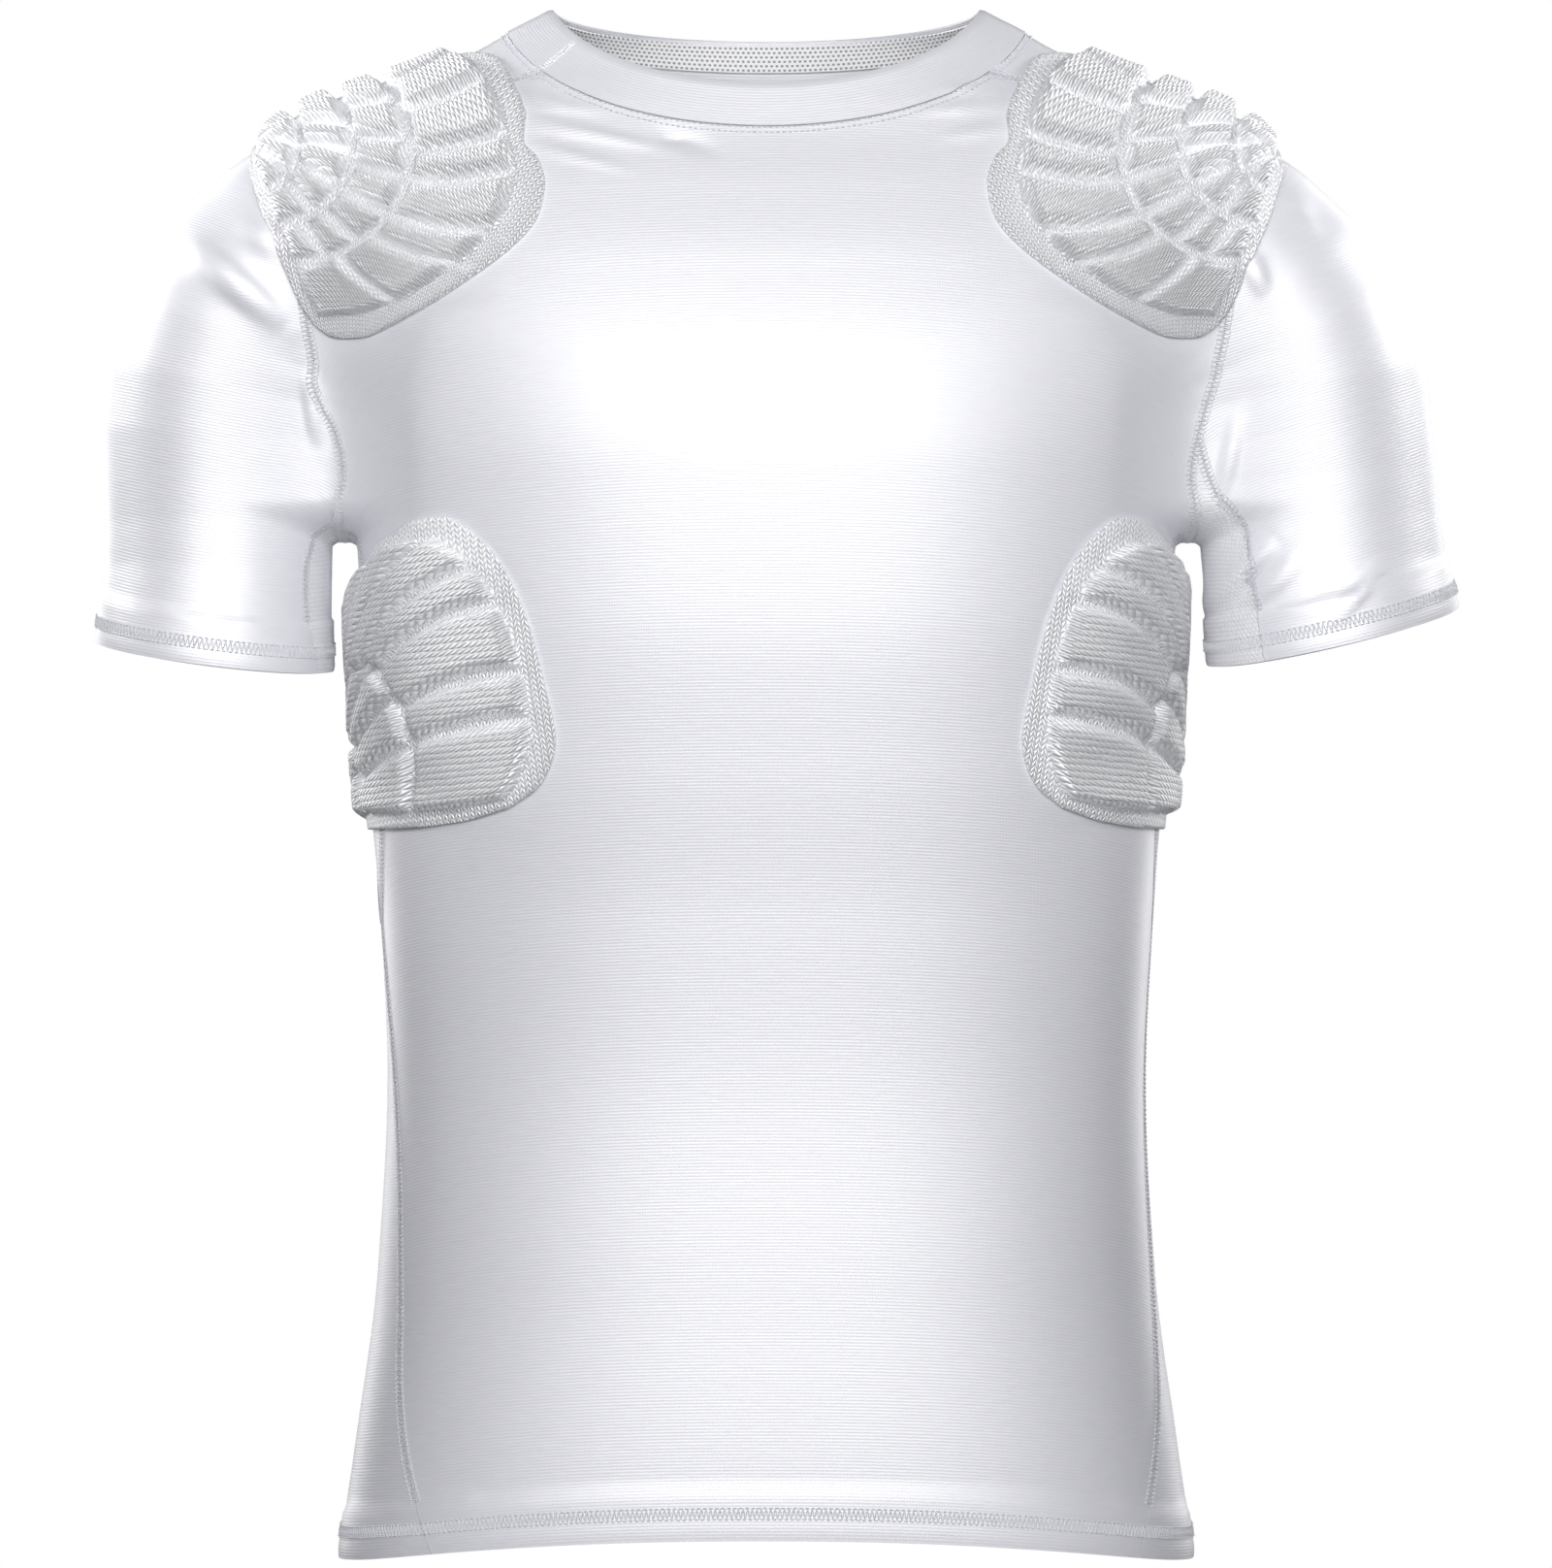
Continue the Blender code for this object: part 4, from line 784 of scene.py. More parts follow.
weaves = {"fineKnit": fineKnitGroup(), "flatKnit": flatKnitGroup(), "ropeKnit": ropeKnitGroup(),
          "holeMesh": holeMeshGroup(), "unevenWhite": unevenWhiteGroup()}
finishes = {  # tone: how far the weave's own shade darkens it, and an offset
    "satinKnit": {"light": (0.84, 0.842, 0.895), "dark": (0.74, 0.742, 0.81), "tone": (-0.8, 0.32),
                  "roughness": 0.50, "sheen": 0.15, "bump": 0.00004, "refraction": 2.15, "specular": 1.0},
    # the pad's dark colour is painted shade in the gaps between the ropes and between the stitches
    "ropeKnit": {"light": (0.965, 0.970, 1.0), "dark": (0.42, 0.425, 0.51), "tone": (1.1, -0.62),
                 "roughness": 0.56, "sheen": 0.50, "bump": 0.0010, "refraction": 2.8, "specular": 1.0},
    # the mesh's holes are painted near white: light on the cloth behind the mesh, seen through them; the net
    # is grey
    "holeMesh": {"light": (0.85, 0.852, 0.90), "dark": (0.99, 0.99, 1.0), "tone": (0.9, 0.05),
                 "roughness": 0.55, "sheen": 0.20, "bump": 0.00025, "refraction": 1.8, "specular": 1.0,
                 "pitch": 0.0024, "hole": 0.30},
    # the tape's holes are painted dark: shade of the space behind the tape, seen through them
    "tapeMesh": {"light": (0.99, 0.99, 0.99), "dark": (0.30, 0.30, 0.31), "tone": (0.9, 0.05),
                 "roughness": 0.65, "sheen": 0.15, "bump": 0.0002, "pitch": 0.0024, "hole": 0.27},
    # thread: the dark twist bands are partly the thread's twist, partly painted shade for the small shadows
    # among the stitches
    "thread": {"light": (0.93, 0.932, 0.97), "dark": (0.50, 0.505, 0.57), "tone": (0.55, 0.0),
               # edge: how much painted outline shade a finish gets; the thread gets none
               "roughness": 0.50, "sheen": 0.20, "bump": 0.00012, "edge": 0.0},
}
sheen = {"tint": (0.95, 0.96, 1.0, 1.0), "roughness": 0.45}
# painted shade along the outline: the colour goes towards dark grey where the cloth turns away from the view
paintedEdgeShade = {"from": 0.72, "to": 0.97, "amount": 0.7, "colour": (0.35, 0.352, 0.39, 1.0)}
flatShare = {"Height": 0.55, "Groove": 1.3}  # of the flat knit between the ropes: its bump and its painted shade


def colourMix(material, **sockets):
    mix = material.node_tree.nodes.new("ShaderNodeMix")
    mix.data_type = "RGBA"
    for label, colour in sockets.items():
        mix.inputs[label].default_value = (*colour[:3], 1.0)
    return mix


def startMaterial(name):
    look = finishes[name]
    material = bpy.data.materials.new(name)
    material.use_nodes = True
    nodes = material.node_tree.nodes
    surface = nodes["Principled BSDF"]
    for label, value in (("Metallic", 0.0), ("Roughness", look["roughness"]), ("Sheen Weight", look["sheen"]),
                         ("Sheen Roughness", sheen["roughness"]), ("Sheen Tint", sheen["tint"]),
                         ("IOR", look.get("refraction", 1.5)),
                         ("Specular IOR Level", look.get("specular", 0.5))):
        surface.inputs[label].default_value = value
    mix = colourMix(material, A=look["light"], B=look["dark"])
    glance = nodes.new("ShaderNodeLayerWeight")  # painted shade: the colour darkens over the last few degrees before the cloth turns away
    glance.inputs["Blend"].default_value = 0.5
    turned = nodes.new("ShaderNodeMapRange")
    turned.interpolation_type = "SMOOTHSTEP"
    for label, value in (("From Min", paintedEdgeShade["from"]), ("From Max", paintedEdgeShade["to"]),
                         ("To Max", look.get("edge", paintedEdgeShade["amount"]))):
        turned.inputs[label].default_value = value
    link(material, glance.outputs["Facing"], turned.inputs["Value"])
    edgeShadedColour = colourMix(material, B=paintedEdgeShade["colour"])
    link(material, turned.outputs["Result"], edgeShadedColour.inputs["Factor"])
    link(material, mix.outputs["Result"], edgeShadedColour.inputs["A"])
    link(material, edgeShadedColour.outputs["Result"], surface.inputs["Base Color"])
    bump = nodes.new("ShaderNodeBump")
    bump.inputs["Distance"].default_value, bump.inputs["Strength"].default_value = look["bump"], 1.0
    link(material, bump.outputs["Normal"], surface.inputs["Normal"])
    return material, mix, bump


def mapOf(material, name):
    cloth = material.node_tree.nodes.new("ShaderNodeUVMap")
    cloth.uv_map = name
    return cloth.outputs["UV"]


def placeGroup(material, name, vector, source, **values):
    node = material.node_tree.nodes.new("ShaderNodeGroup")
    node.node_tree = weaves[name]
    link(material, source, node.inputs[vector])
    for label, value in values.items():
        node.inputs[label].default_value = value
    return node


def toneInto(material, mix, shade):  # shade darkens, and uneven white shifts it a little
    tree = material.node_tree
    place = tree.nodes.new("ShaderNodeTexCoord")
    uneven = placeGroup(material, "unevenWhite", "Place", place.outputs["Object"], Scale=unevenness["scale"])
    amount = unevenness["amount"]
    level = Wire(tree, shade).use("MULTIPLY_ADD", *finishes[material.name]["tone"])
    slow = Wire(tree, uneven.outputs["Tone"]).use("MULTIPLY_ADD", amount, -amount / 2)
    link(material, level.use("ADD", slow, clamp=True).socket, mix.inputs["Factor"])


def clothMaterial(name, weave, shade, **values):  # one weave all over
    material, mix, bump = startMaterial(name)
    knit = placeGroup(material, weave, "Cloth", mapOf(material, "cloth"), **values)
    link(material, knit.outputs["Height"], bump.inputs["Height"])
    toneInto(material, mix, knit.outputs[shade])
    return material


def padMaterial():  # ropes over the foam cells, flat knit in the channels and round the border, with painted shade darkening the gaps between them
    material, mix, bump = startMaterial("ropeKnit")
    tree, cloth = material.node_tree, mapOf(material, "cloth")
    ropes, flat = (placeGroup(material, weave, "Cloth", cloth) for weave in ("ropeKnit", "flatKnit"))
    risen = Wire(tree, mapOf(material, "relief")).split()[0]
    blends = {}
    for label, share in flatShare.items():
        blend = tree.nodes.new("ShaderNodeMix")
        link(material, risen.socket, blend.inputs["Factor"])
        link(material, (Wire(tree, flat.outputs[label]) * share).socket, blend.inputs["A"])
        link(material, ropes.outputs[label], blend.inputs["B"])
        blends[label] = blend.outputs["Result"]
    link(material, blends["Height"], bump.inputs["Height"])
    toneInto(material, mix, blends["Groove"])
    return material


def threadMaterial():
    material, mix, bump = startMaterial("thread")
    nodes = material.node_tree.nodes
    twist, place = nodes.new("ShaderNodeTexWave"), nodes.new("ShaderNodeTexCoord")
    twist.wave_type, twist.bands_direction = "BANDS", "DIAGONAL"
    twist.inputs["Scale"].default_value = stitch["twistScale"]
    link(material, place.outputs["Object"], twist.inputs["Vector"])
    link(material, twist.outputs["Fac"], bump.inputs["Height"])
    # the twist bands darken the thread: partly its twist, partly painted shade among the stitches
    toneInto(material, mix, twist.outputs["Fac"])
    return material


def meshMaterial(name):
    return clothMaterial(name, "holeMesh", "Hole", Pitch=finishes[name]["pitch"], Hole=finishes[name]["hole"])


stitch = {"pitch": 0.0020, "radius": 0.00032, "seamHalf": 0.0024, "lift": 0.00010, "twistScale": 900.0,
          "hemRows": (0.0095, 0.0145), "cuffRows": (0.0070, 0.0120), "hemLift": 0.00015, "hemZigzag": 0.8,
          "dashPitch": 0.0026, "dashShare": 0.62, "rowShare": 1.5, "bow": 0.9, "endSize": 0.55,
          "collarRows": ((0.0032, 0.0003), (0.0006, 0.0004))}  # each row's way from the seam, and its lift
looks = {"knit": clothMaterial("satinKnit", "fineKnit", "Shade"), "pad": padMaterial(),
         "mesh": meshMaterial("holeMesh"), "tape": meshMaterial("tapeMesh"), "thread": threadMaterial()}
print("materials ready")

# Threads: small closed prisms laid over the cloth


def prisms(ends, normals, radius):  # ends: n, 2, 3; one flattened four-sided stitch for each
    a, b = ends[:, 0], ends[:, 1]
    way = b - a
    way /= np.linalg.norm(way, axis=1)[:, None] + 1e-12
    side = np.cross(way, normals)
    side /= np.linalg.norm(side, axis=1)[:, None] + 1e-12
    middle = (a + b) / 2 + normals * radius * stitch["bow"]
    points = []
    for centre, size in ((a, stitch["endSize"]), (middle, 1.0), (b, stitch["endSize"])):
        for s, h in ((-1, 0), (0, 1.0), (1, 0), (0, -0.5)):
            points.append(centre + side * s * radius * size + normals * h * radius * size)
    points = np.stack(points, 1)
    around = ((0, 1), (1, 2), (2, 3), (3, 0), (4, 5), (5, 6), (6, 7), (7, 4))
    faces = [(a, b, b + 4, a + 4) for a, b in around] + [(3, 2, 1, 0), (8, 9, 10, 11)]
    faces = np.array(faces)[None] + 12 * np.arange(len(ends))[:, None, None]
    return points.reshape(-1, 3), faces.reshape(-1, 4)


def stitches(name, parts):  # one mesh of many prisms. parts: (points, faces)
    starts = np.cumsum([0] + [len(points) for points, _ in parts])
    faces = np.concatenate([faces + start for (_, faces), start in zip(parts, starts)])
    points = np.concatenate([points for points, _ in parts])
    return meshPiece(name, points, faces, "thread", points[:, :2].copy())


def sideways(line, normals):
    side = np.cross(np.gradient(line, axis=0), normals)
    return side / (np.linalg.norm(side, axis=1)[:, None] + 1e-12)


def laid(line, pitch, lift):  # the line outside the cloth, in steps of about the pitch, and its normals
    line = evenly(line, max(4, int(lengthsAlong(line)[-1] / pitch)))
    normals = outward(line)
    return line + normals * (shirt["clothWall"] + lift), normals


def zigzag(line, half, lift, radius):
    line, normals = laid(line, stitch["pitch"] / 2, lift)
    swing = np.where(np.arange(len(line)) % 2 == 0, half, -half)[:, None]
    zig = line + sideways(line, normals) * swing
    return prisms(np.stack([zig[:-1], zig[1:]], 1), normals[:-1], radius)


def coverSeam(line):  # a zigzag over the seam and a row along each side
    half = stitch["seamHalf"]
    parts = [zigzag(line, half, stitch["lift"], stitch["radius"])]
    line, normals = laid(line, stitch["pitch"] / 2, stitch["lift"])
    for edge in (-half, half):
        row = line + sideways(line, normals) * edge
        ends = np.stack([row[:-1:2], row[:-1:2] + (row[1::2] - row[:-1:2]) * stitch["rowShare"]], 1)
        parts.append(prisms(ends, normals[:-1:2], stitch["radius"]))
    return parts


def dashRow(line, lift):
    line, normals = laid(line, stitch["dashPitch"], lift)
    ends = np.stack([line[:-1], line[:-1] + (line[1:] - line[:-1]) * stitch["dashShare"]], 1)
    return prisms(ends, normals[:-1], stitch["radius"])


def rowAt(sheet, height):  # the sheet's line at a height above its lower edge
    up = clothGrid(sheet)[1]
    line = [[np.interp(height, up[:, c], sheet[:, c, n]) for n in range(3)] for c in range(sheet.shape[1])]
    return settle(np.array(line), rounds=4)


def beside(line, distance):  # the line moved along the cloth, to the left of its own way
    return settle(line + sideways(line, outward(line)) * distance)


# Panels

k = shirt["fineness"]
holes = {side: armholeSeams(side, k) for side in sideSign}
sides = {side: sideSeams(side, k, holes[side]) for side in sideSign}
neckTurn = math.degrees(math.acos(shoulderSeam["out"] / neckSeam["halfWidth"]))
frontTurns = np.linspace(180 - neckTurn, neckTurn, steps["neckFront"] * k + 1)
backTurns = np.linspace(180 - neckTurn, 360 + neckTurn, steps["neckBack"] * k + 1)
neckFront, neckBack = (settle(neckLine(neckSeam, turns)) for turns in (frontTurns, backTurns))
shoulder = {}
for side, corner in (("right", neckFront[0]), ("left", neckFront[-1])):
    outer = holes[side]["frontHigh"][-1]
    middle = 0.5 * (corner + outer) + np.array(shoulderSeam["bow"])
    shoulder[side] = seamLine([corner, middle, outer], steps["shoulder"] * k)
sheets = {}  # the pieces that get a hem


def bodyPanel(face, neck):
    edges = {}
    for side in sideSign:
        below, edge = sides[side]
        low, high = holes[side][face + "Low"], holes[side][face + "High"]
        gussetEdge = edge[face][1:]
        if face == "back":
            gussetEdge = np.concatenate([stepBetween(below[-1], edge[face][0], k), gussetEdge])
        edges[side] = np.concatenate([below, gussetEdge, low[1:], high[1:]])
    far = 90 if face == "front" else -90
    bottom = {side: float(seamAngle(side, -shirt["bodyLength"])) for side in sideSign}
    hem = np.concatenate([
        torsoPoint("right", turn := np.linspace(bottom["right"], far, hemPoints), hemHeight(turn))[:-1],
        torsoPoint("left", turn := np.linspace(far, bottom["left"], hemPoints), hemHeight(turn))])
    top = np.concatenate([shoulder["right"][::-1][:-1], neck, shoulder["left"][1:]])
    return patch(evenly(hem, len(top) - 1), top, edges["right"], edges["left"], k)


def stepBetween(a, b, count):
    return a + (b - a) * (np.arange(1, count + 1) / count)[:, None]


for face, neck in (("front", neckFront), ("back", neckBack)):
    name = face + "Panel"
    sheets[name] = bodyPanel(face, neck)
    piece = clothWall(name, sheets[name], "knit", ("high", "start", "end"), hem=True)
    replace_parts(piece, face + "_panel")

for side in sideSign:
    below, edge = sides[side]
    across = np.linspace(0, 1, steps["underarm"] * k + 1)[:, None]
    low = edge["front"][0] + (edge["back"][0] - edge["front"][0]) * across
    sheet = patch(low, holes[side]["under"][::-1], edge["front"], edge["back"], k)
    piece = clothWall("sideGusset_" + side, sheet, "mesh", ("low", "high", "start", "end"))
    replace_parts(piece, "side_gusset_" + side)

    hole = holes[side]
    strip = np.concatenate([hole["frontLow"][::-1], hole["under"][::-1][1:], hole["backLow"][1:]])
    cap = np.concatenate([hole["frontHigh"], hole["backHigh"][::-1][1:]])
    end = cuff[side]
    stripCuff = cuffLine(side, np.linspace(end["stripFront"], end["stripBack"], len(strip)))
    capCuff = cuffLine(side, np.linspace(end["stripFront"], end["stripBack"] + 360, len(cap)))
    seams = {}
    for label, n, bow in (("front", 0, -sleeveBow), ("back", -1, sleeveBow)):
        a, b = capCuff[n], cap[n]
        seam = seamLine([a, 0.5 * (a + b) + np.array([0, bow, 0]), b], steps["sleeve"] * k)
        along = lengthsAlong(seam)
        rows = steps["sleeve"]
        marks = np.concatenate([[0], np.linspace(shirt["hemDepth"], along[-1], rows)])
        share = np.interp(np.linspace(0, rows, rows * k + 1), np.arange(rows + 1), marks)
        seams[label] = settle(np.stack([np.interp(share, along, seam[:, n]) for n in range(3)], axis=1))
    for name, node, low, high, look in (("sleeveCap_", "sleeve_", capCuff, cap, "knit"),
                                        ("sleeveStrip_", "sleeve_gusset_", stripCuff, strip, "mesh")):
        name += side
        sheets[name] = patch(low, high, seams["front"], seams["back"], k)
        piece = clothWall(name, sheets[name], look, ("high", "start", "end"), hem=True)
        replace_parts(piece, node + side)
    sides[side] = (below, edge, seams)

# Collar band and the tape inside it

collar = {"rows": 10, "topRound": 0.0009}
ring = np.concatenate([neckFront, neckBack[::-1][1:-1]])
top = settle(neckLine(neckTop, np.concatenate([frontTurns, backTurns[::-1][1:-1]])))
band = settle(np.stack([ring + (top - ring) * share for share in np.linspace(0, 1, collar["rows"] + 1)]))
bandWall = np.full(band.shape[:2], shirt["collarWall"])
bandWall[-1] -= collar["topRound"]
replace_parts(clothWall("collarBand", band, "knit", ("low",), ring=True, wall=bandWall), "collar_band")

tape = {"skip": 2, "low": 0.36, "high": 0.93, "rows": 5, "gap": 0.0004}
back = np.concatenate([band, band[:, :1]], axis=1)[:, steps["neckFront"] * k:]
back = back[:, tape["skip"] * k:back.shape[1] - tape["skip"] * k]
rows = []
for at in np.linspace(tape["low"], tape["high"], tape["rows"]) * collar["rows"]:
    row = int(at)
    rows.append(back[row] + (back[min(row + 1, collar["rows"])] - back[row]) * (at - row))
rows = np.stack(rows)
inward = -outward(rows)
inner, outer = rows + inward * (tape["gap"] + shirt["tapeWall"]), rows + inward * tape["gap"]
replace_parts(walled("neckTape", inner, outer, "tape", clothGrid(rows)), "neck_tape")

# Pads: rays spread from a short root, and rings cross them. Foam cells fill the fields between.

pad = {
    "lines": 42, "border": 0.0056, "rootBorder": 0.7, "borderLimit": 0.20, "lift": 0.0005,
    "flange": 0.0020, "rimRound": 0.0009, "across": 180, "out": 118, "cellHeight": 0.0066, "channel": 0.0016,
    "riseWidth": 0.0042, "fullness": 0.85, "smallCell": 0.25, "unevenness": 0.12, "ropeFrom": 0.35,
    "fill": 0.6, "fineness": 4, "steps": 40, "rounds": 24,
    "bend": {"shoulder": -0.05, "rib": 0.14}, "shoulderSeed": 11, "ribSeed": 21,
}
padKnit = {"ribCentre": 0.045, "ribRadius": 0.105, "domeRadius": 0.11,
           "slope": {"shoulder": 14.0, "rib": -6.0}}
padBands = {  # from and to are shares of the way out from the root, and the cuts are rays
    "shoulder": (
        (0.00, 0.22, (0, 6, 12, 18, 24, 30, 36, 42)),
        (0.22, 0.42, (0, 5, 9, 13, 16, 20, 24, 28, 32, 37, 42)),
        (0.42, 0.64, (0, 3, 6, 9, 12, 15, 18, 21, 24, 27, 30, 33, 36, 39, 42)),
        (0.64, 1.00, (0, 4, 7, 9, 12, 14, 17, 20, 23, 26, 29, 32, 35, 38, 42)),
    ),
    "rib": (
        (0.00, 0.32, (0, 6, 11, 16, 22, 28, 35, 42)),
        (0.32, 0.60, (0, 4, 7, 10, 13, 17, 21, 25, 30, 36, 42)),
        (0.60, 1.00, (0, 4, 6, 9, 11, 14, 17, 20, 24, 28, 32, 37, 42)),
    ),
}
# Shoulder pad outline. Front and back points are (out, height), and top points are (out, fore)
shoulderPad = {
    "root": (("front", (0.2305, -0.066)), ("top", (0.2300, 0.000)), ("back", (0.2305, -0.070))),
    "frontEdge": (("front", (0.2305, -0.066), (0.2240, -0.087), (0.2160, -0.106), (0.2070, -0.126),
                   (0.2010, -0.134)),),
    "backEdge": (("back", (0.2305, -0.070), (0.2240, -0.090), (0.2140, -0.112), (0.2040, -0.128),
                  (0.1980, -0.134)),),
    "far": (("front", (0.2010, -0.134), (0.1920, -0.1395), (0.1800, -0.1400), (0.1620, -0.1340),
             (0.1360, -0.1200), (0.1100, -0.1010), (0.1000, -0.0880), (0.0975, -0.0730),
             (0.1015, -0.0610), (0.1075, -0.0540), (0.1065, -0.0430), (0.1110, -0.0300)),
            ("top", (0.1230, -0.0270), (0.1420, 0.000), (0.1260, 0.0300)),
            ("back", (0.1140, -0.0360), (0.1080, -0.0520), (0.1050, -0.0700), (0.1080, -0.0900),
             (0.1200, -0.1080), (0.1420, -0.1240), (0.1650, -0.1360), (0.1800, -0.1405),
             (0.1910, -0.1400), (0.1980, -0.1340))),
}
# Rib pad outline, in degrees round the body from its side towards the front, and height
ribPad = {
    "root": ((-8.0, -0.3585), (-17.0, -0.3585), (-26.0, -0.3580)),
    "frontEdge": ((-8.0, -0.3585), (12.0, -0.3590), (30.0, -0.3580), (44.0, -0.3550), (54.0, -0.3490)),
    "backEdge": ((-26.0, -0.3580), (-34.0, -0.3565), (-40.0, -0.3535), (-44.0, -0.3490)),
    "far": ((54.0, -0.3490), (60.0, -0.3380), (62.5, -0.3200), (61.0, -0.2960), (58.5, -0.2690),
            (54.0, -0.2430), (48.0, -0.2270), (42.0, -0.2205), (35.0, -0.2220), (29.0, -0.2270),
            (23.0, -0.2310), (16.0, -0.2410), (9.0, -0.2520), (2.0, -0.2590), (-10.0, -0.2590),
            (-24.0, -0.2570), (-36.0, -0.2580), (-45.0, -0.2650), (-51.0, -0.2820), (-53.0, -0.3050),
            (-51.0, -0.3300), (-44.0, -0.3490)),
}
ribPadTurn = {"right": 0.0, "left": -8.0}


def padSheet(edges):
    count = pad["steps"] * pad["fineness"]
    lines = [seamLine(edges[name], count) for name in ("root", "far", "frontEdge", "backEdge")]
    return patch(*lines, pad["fineness"], rounds=pad["rounds"])


def sampled(base, out, along):  # points of the sheet at shares of the way out and along
    last = len(base) - 1
    i, j = (np.minimum((share * last).astype(int), last - 1) for share in (out, along))
    s, t = (out * last - i)[..., None], (along * last - j)[..., None]
    return ((1 - s) * ((1 - t) * base[i, j] + t * base[i, j + 1])
            + s * ((1 - t) * base[i + 1, j] + t * base[i + 1, j + 1]))


def cellHeights(kind, sheet, along, out, seed):  # a rounded cell in each field between rays and rings
    dice = np.random.default_rng(seed)
    across, up = lengthsOf(sheet, 1), lengthsOf(sheet, 0)
    side = np.minimum(pad["border"] / across[:, -1], pad["borderLimit"])
    end = np.minimum(pad["border"] / up[-1], pad["borderLimit"])
    rayAt = lambda cut: side + (1 - 2 * side) * cut / pad["lines"]
    ringAt = lambda share: pad["rootBorder"] * end + (1 - (1 + pad["rootBorder"]) * end) * share
    heights = np.zeros(sheet.shape[:2])
    for low, high, cuts in padBands[kind]:
        v0, v1 = ringAt(low), ringAt(high)
        down = np.array([np.interp(v0[c], out, up[:, c]) for c in range(len(along))])
        upper = np.array([np.interp(v1[c], out, up[:, c]) for c in range(len(along))])
        dv = np.minimum(up - down, upper - up)
        for a, b in zip(cuts[:-1], cuts[1:]):
            u0, u1 = rayAt(a), rayAt(b)
            left = np.array([np.interp(u, along, row) for u, row in zip(u0, across)])
            right = np.array([np.interp(u, along, row) for u, row in zip(u1, across)])
            du = np.minimum(across - left[:, None], right[:, None] - across)
            cell = (du > 0) & (dv > 0)
            x, y = np.maximum(du[cell] - pad["channel"], 0), np.maximum(dv[cell] - pad["channel"], 0)
            near = x * y / (x ** 3 + y ** 3 + 1e-15) ** (1 / 3)
            rise = np.sin(np.pi / 2 * np.clip(near / pad["riseWidth"], 0, 1)) ** pad["fullness"]
            small = min(1.0, near.max() / pad["riseWidth"] + pad["smallCell"])
            heights[cell] = pad["cellHeight"] * small * (1 - pad["unevenness"] * dice.random()) * rise
    return heights


def knitLay(kind, side, sheet):  # metres along and across the ribs of the one knit that covers a pad
    sign = sideSign[side]
    if kind == "rib":  # unrolled from round the body
        turn = np.arctan2(-sheet[..., 1], sign * sheet[..., 0] - padKnit["ribCentre"])
        u, v = -padKnit["ribRadius"] * turn, sheet[..., 2]
    else:  # flattened from a dome
        middle = sheet[sheet.shape[0] // 2, sheet.shape[1] // 2]
        normal = outward(middle[None])[0]
        level = np.cross(normal, (0, 0, 1))
        level *= -sign / np.linalg.norm(level)
        rise = np.cross(level, normal) * sign
        away = sheet - (middle - normal * padKnit["domeRadius"])
        away /= np.linalg.norm(away, axis=2)[..., None]
        lean = np.arccos(np.clip(away @ normal, -1, 1))
        reach = padKnit["domeRadius"] * lean / np.maximum(np.sin(lean), 1e-6)
        u, v = reach * (away @ level), reach * (away @ rise)
    slope = math.radians(padKnit["slope"][kind])
    cosine, sine = math.cos(slope), math.sin(slope)
    return u * cosine + v * sine, v * cosine - u * sine


def padPiece(kind, side, edges, seed):
    base = padSheet(edges)
    along, out = np.linspace(0, 1, pad["across"]), np.linspace(0, 1, pad["out"])
    bend = pad["bend"][kind] * 4 * (out * (1 - out))[:, None] * np.sin(math.pi * along)[None]
    outShare, alongShare = np.broadcast_to(out[:, None], bend.shape), np.clip(along[None] + bend, 0, 1)
    sheet = settle(sampled(base, outShare, alongShare), rounds=5)
    normal = outward(sheet)
    heights = cellHeights(kind, sheet, along, out, seed)
    flange = np.full(heights.shape, pad["flange"])
    flange[[0, -1]] -= pad["rimRound"]
    flange[:, [0, -1]] -= pad["rimRound"]
    under = sheet + normal * (shirt["clothWall"] + pad["lift"])
    over = under + normal * (flange + heights)[..., None]
    risen = np.clip(heights / (pad["ropeFrom"] * pad["cellHeight"]), 0, 1).ravel()
    relief = np.repeat(np.concatenate([0 * risen, risen])[:, None], 2, axis=1)
    piece = walled(kind + "Pad_" + side, under, over, "pad", knitLay(kind, side, sheet), relief)
    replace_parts(piece, kind + "_pad_" + side)


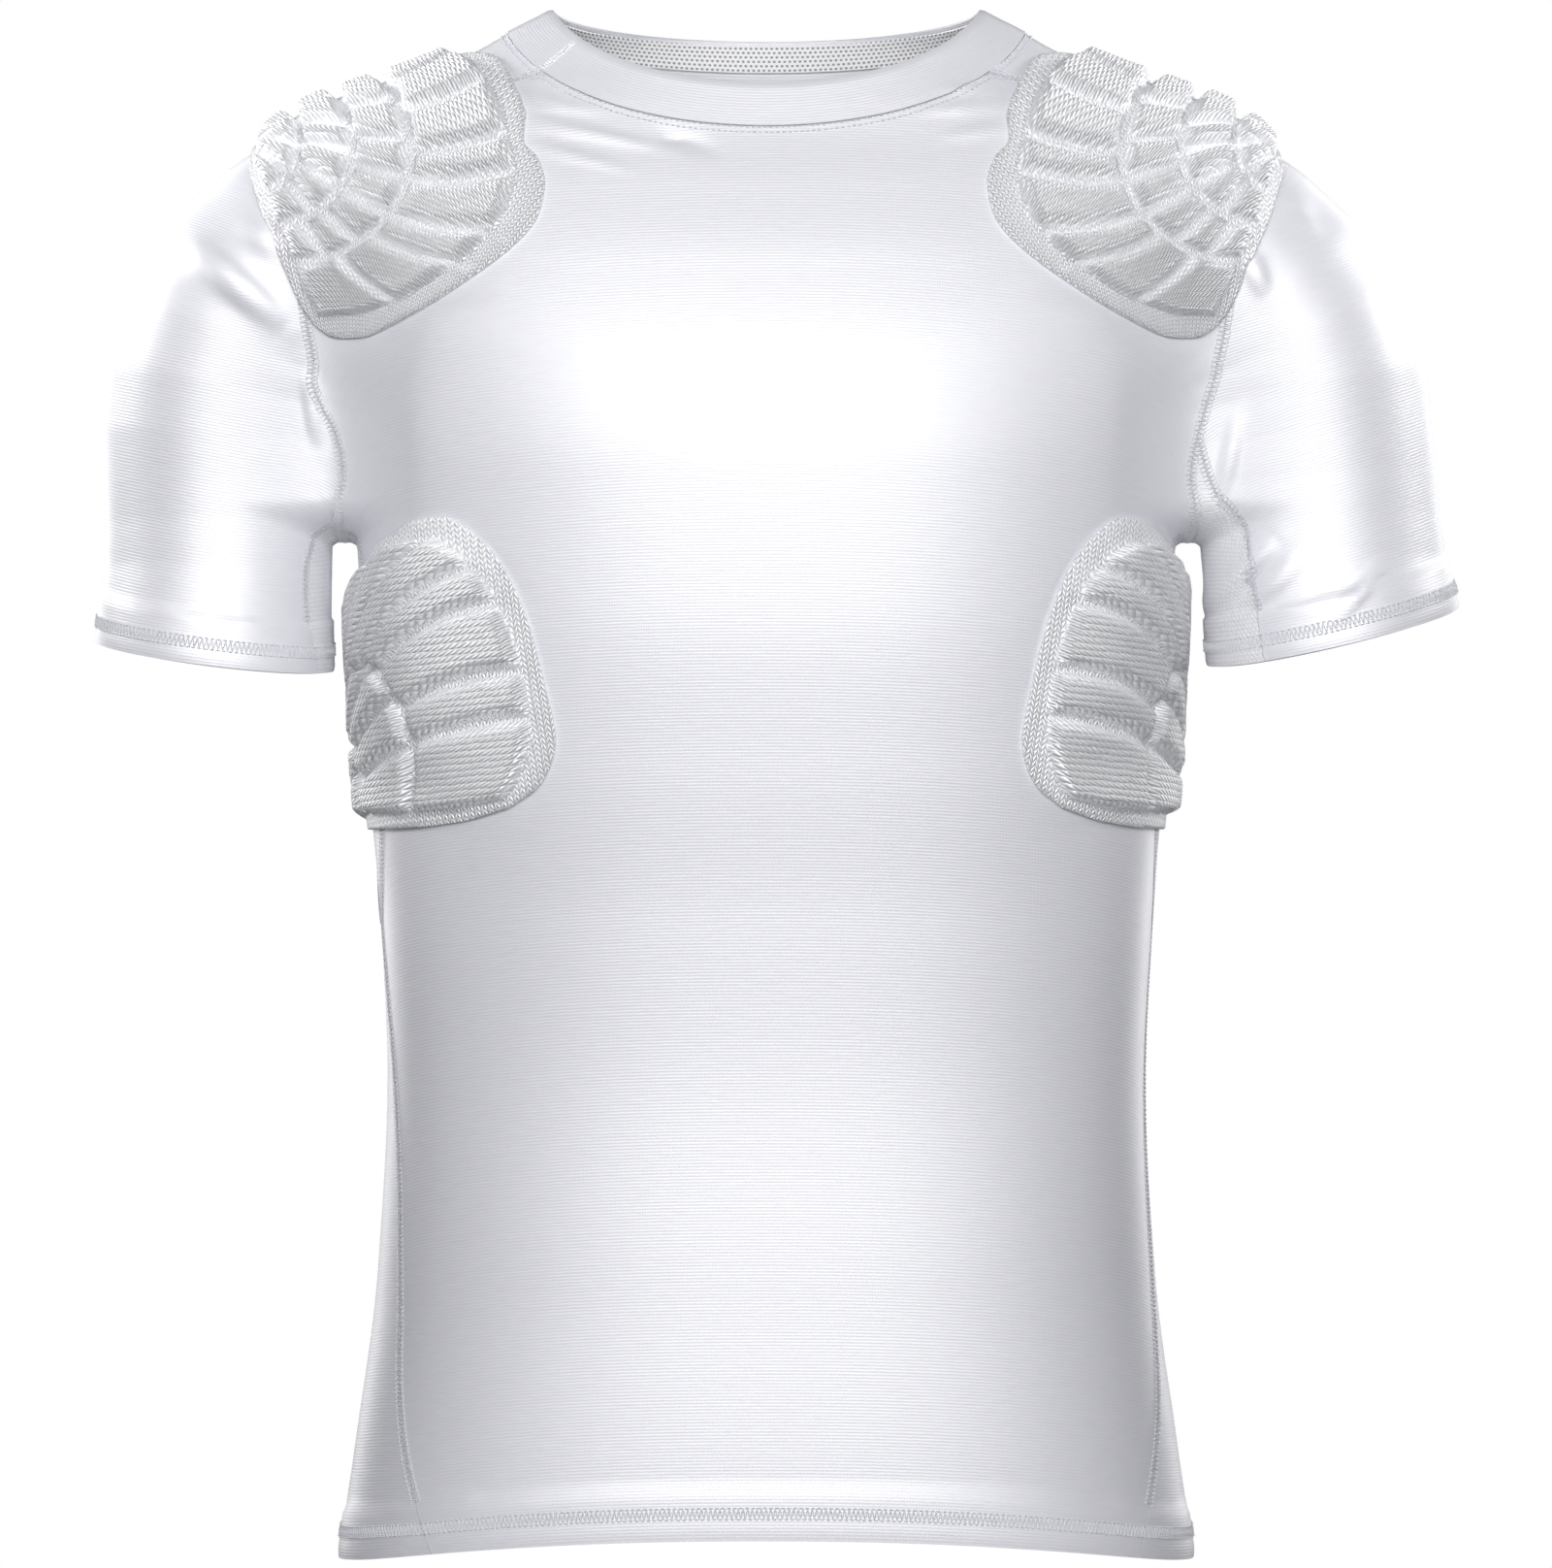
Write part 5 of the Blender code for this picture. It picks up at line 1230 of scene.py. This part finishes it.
for n, side in enumerate(sideSign):
    edges = {name: [seenFrom(face, side, *spot) for face, *spots in parts for spot in spots]
             for name, parts in shoulderPad.items()}
    padPiece("shoulder", side, edges, pad["shoulderSeed"] + n)
    edges = {name: [torsoPoint(side, angle + ribPadTurn[side], height) for angle, height in points]
             for name, points in ribPad.items()}
    padPiece("rib", side, edges, pad["ribSeed"] + n)

# Stitching

for side in sideSign:
    below, edge, seams = sides[side]
    hole = holes[side]
    around = np.concatenate([hole["under"], hole["frontLow"][1:], hole["frontHigh"][1:],
                             hole["backHigh"][::-1][1:], hole["backLow"][::-1][1:]])
    for name, lines in (("sideSeam", (below[k:], edge["front"], edge["back"])), ("armhole", (around,)),
                        ("sleeveSeam", (seams["front"][k:], seams["back"][k:])),
                        ("shoulderSeam", (shoulder[side],))):
        stitches(name + "Thread_" + side, [part for line in lines for part in coverSeam(line)])
neckRing = np.concatenate([neckFront, neckBack[::-1][1:]])
stitches("collarSeamThread", [dashRow(beside(neckRing, away), lift) for away, lift in stitch["collarRows"]])
lift = stitch["lift"] + shirt["hemWall"] - shirt["clothWall"] + stitch["hemLift"]
for name, sheet in sheets.items():  # two rows of needle thread and the zigzag between them
    low, high = stitch["cuffRows" if name.startswith("sleeve") else "hemRows"]
    middle, half = rowAt(sheet, (low + high) / 2), (high - low) / 2
    parts = [dashRow(rowAt(sheet, height), lift) for height in (low, high)]
    parts.append(zigzag(middle, half, lift, stitch["radius"] * stitch["hemZigzag"]))
    stitches("hemThread_" + name, parts)
print("seams and hems stitched")

floor = {"height": -1.0, "radius": 0.55, "corners": 96, "colour": (0.86, 0.86, 0.87, 1), "roughness": 0.8}
bpy.ops.mesh.primitive_circle_add(vertices=floor["corners"], radius=floor["radius"], fill_type="NGON",
                                  location=(0, 0, floor["height"]))
ground = bpy.context.object
ground.name = "studioFloor"
paleFloor = bpy.data.materials.new("paleFloor")
paleFloor.use_nodes = True
matt = paleFloor.node_tree.nodes["Principled BSDF"]
matt.inputs["Base Color"].default_value = floor["colour"]
matt.inputs["Roughness"].default_value = floor["roughness"]
ground.data.materials.append(paleFloor)
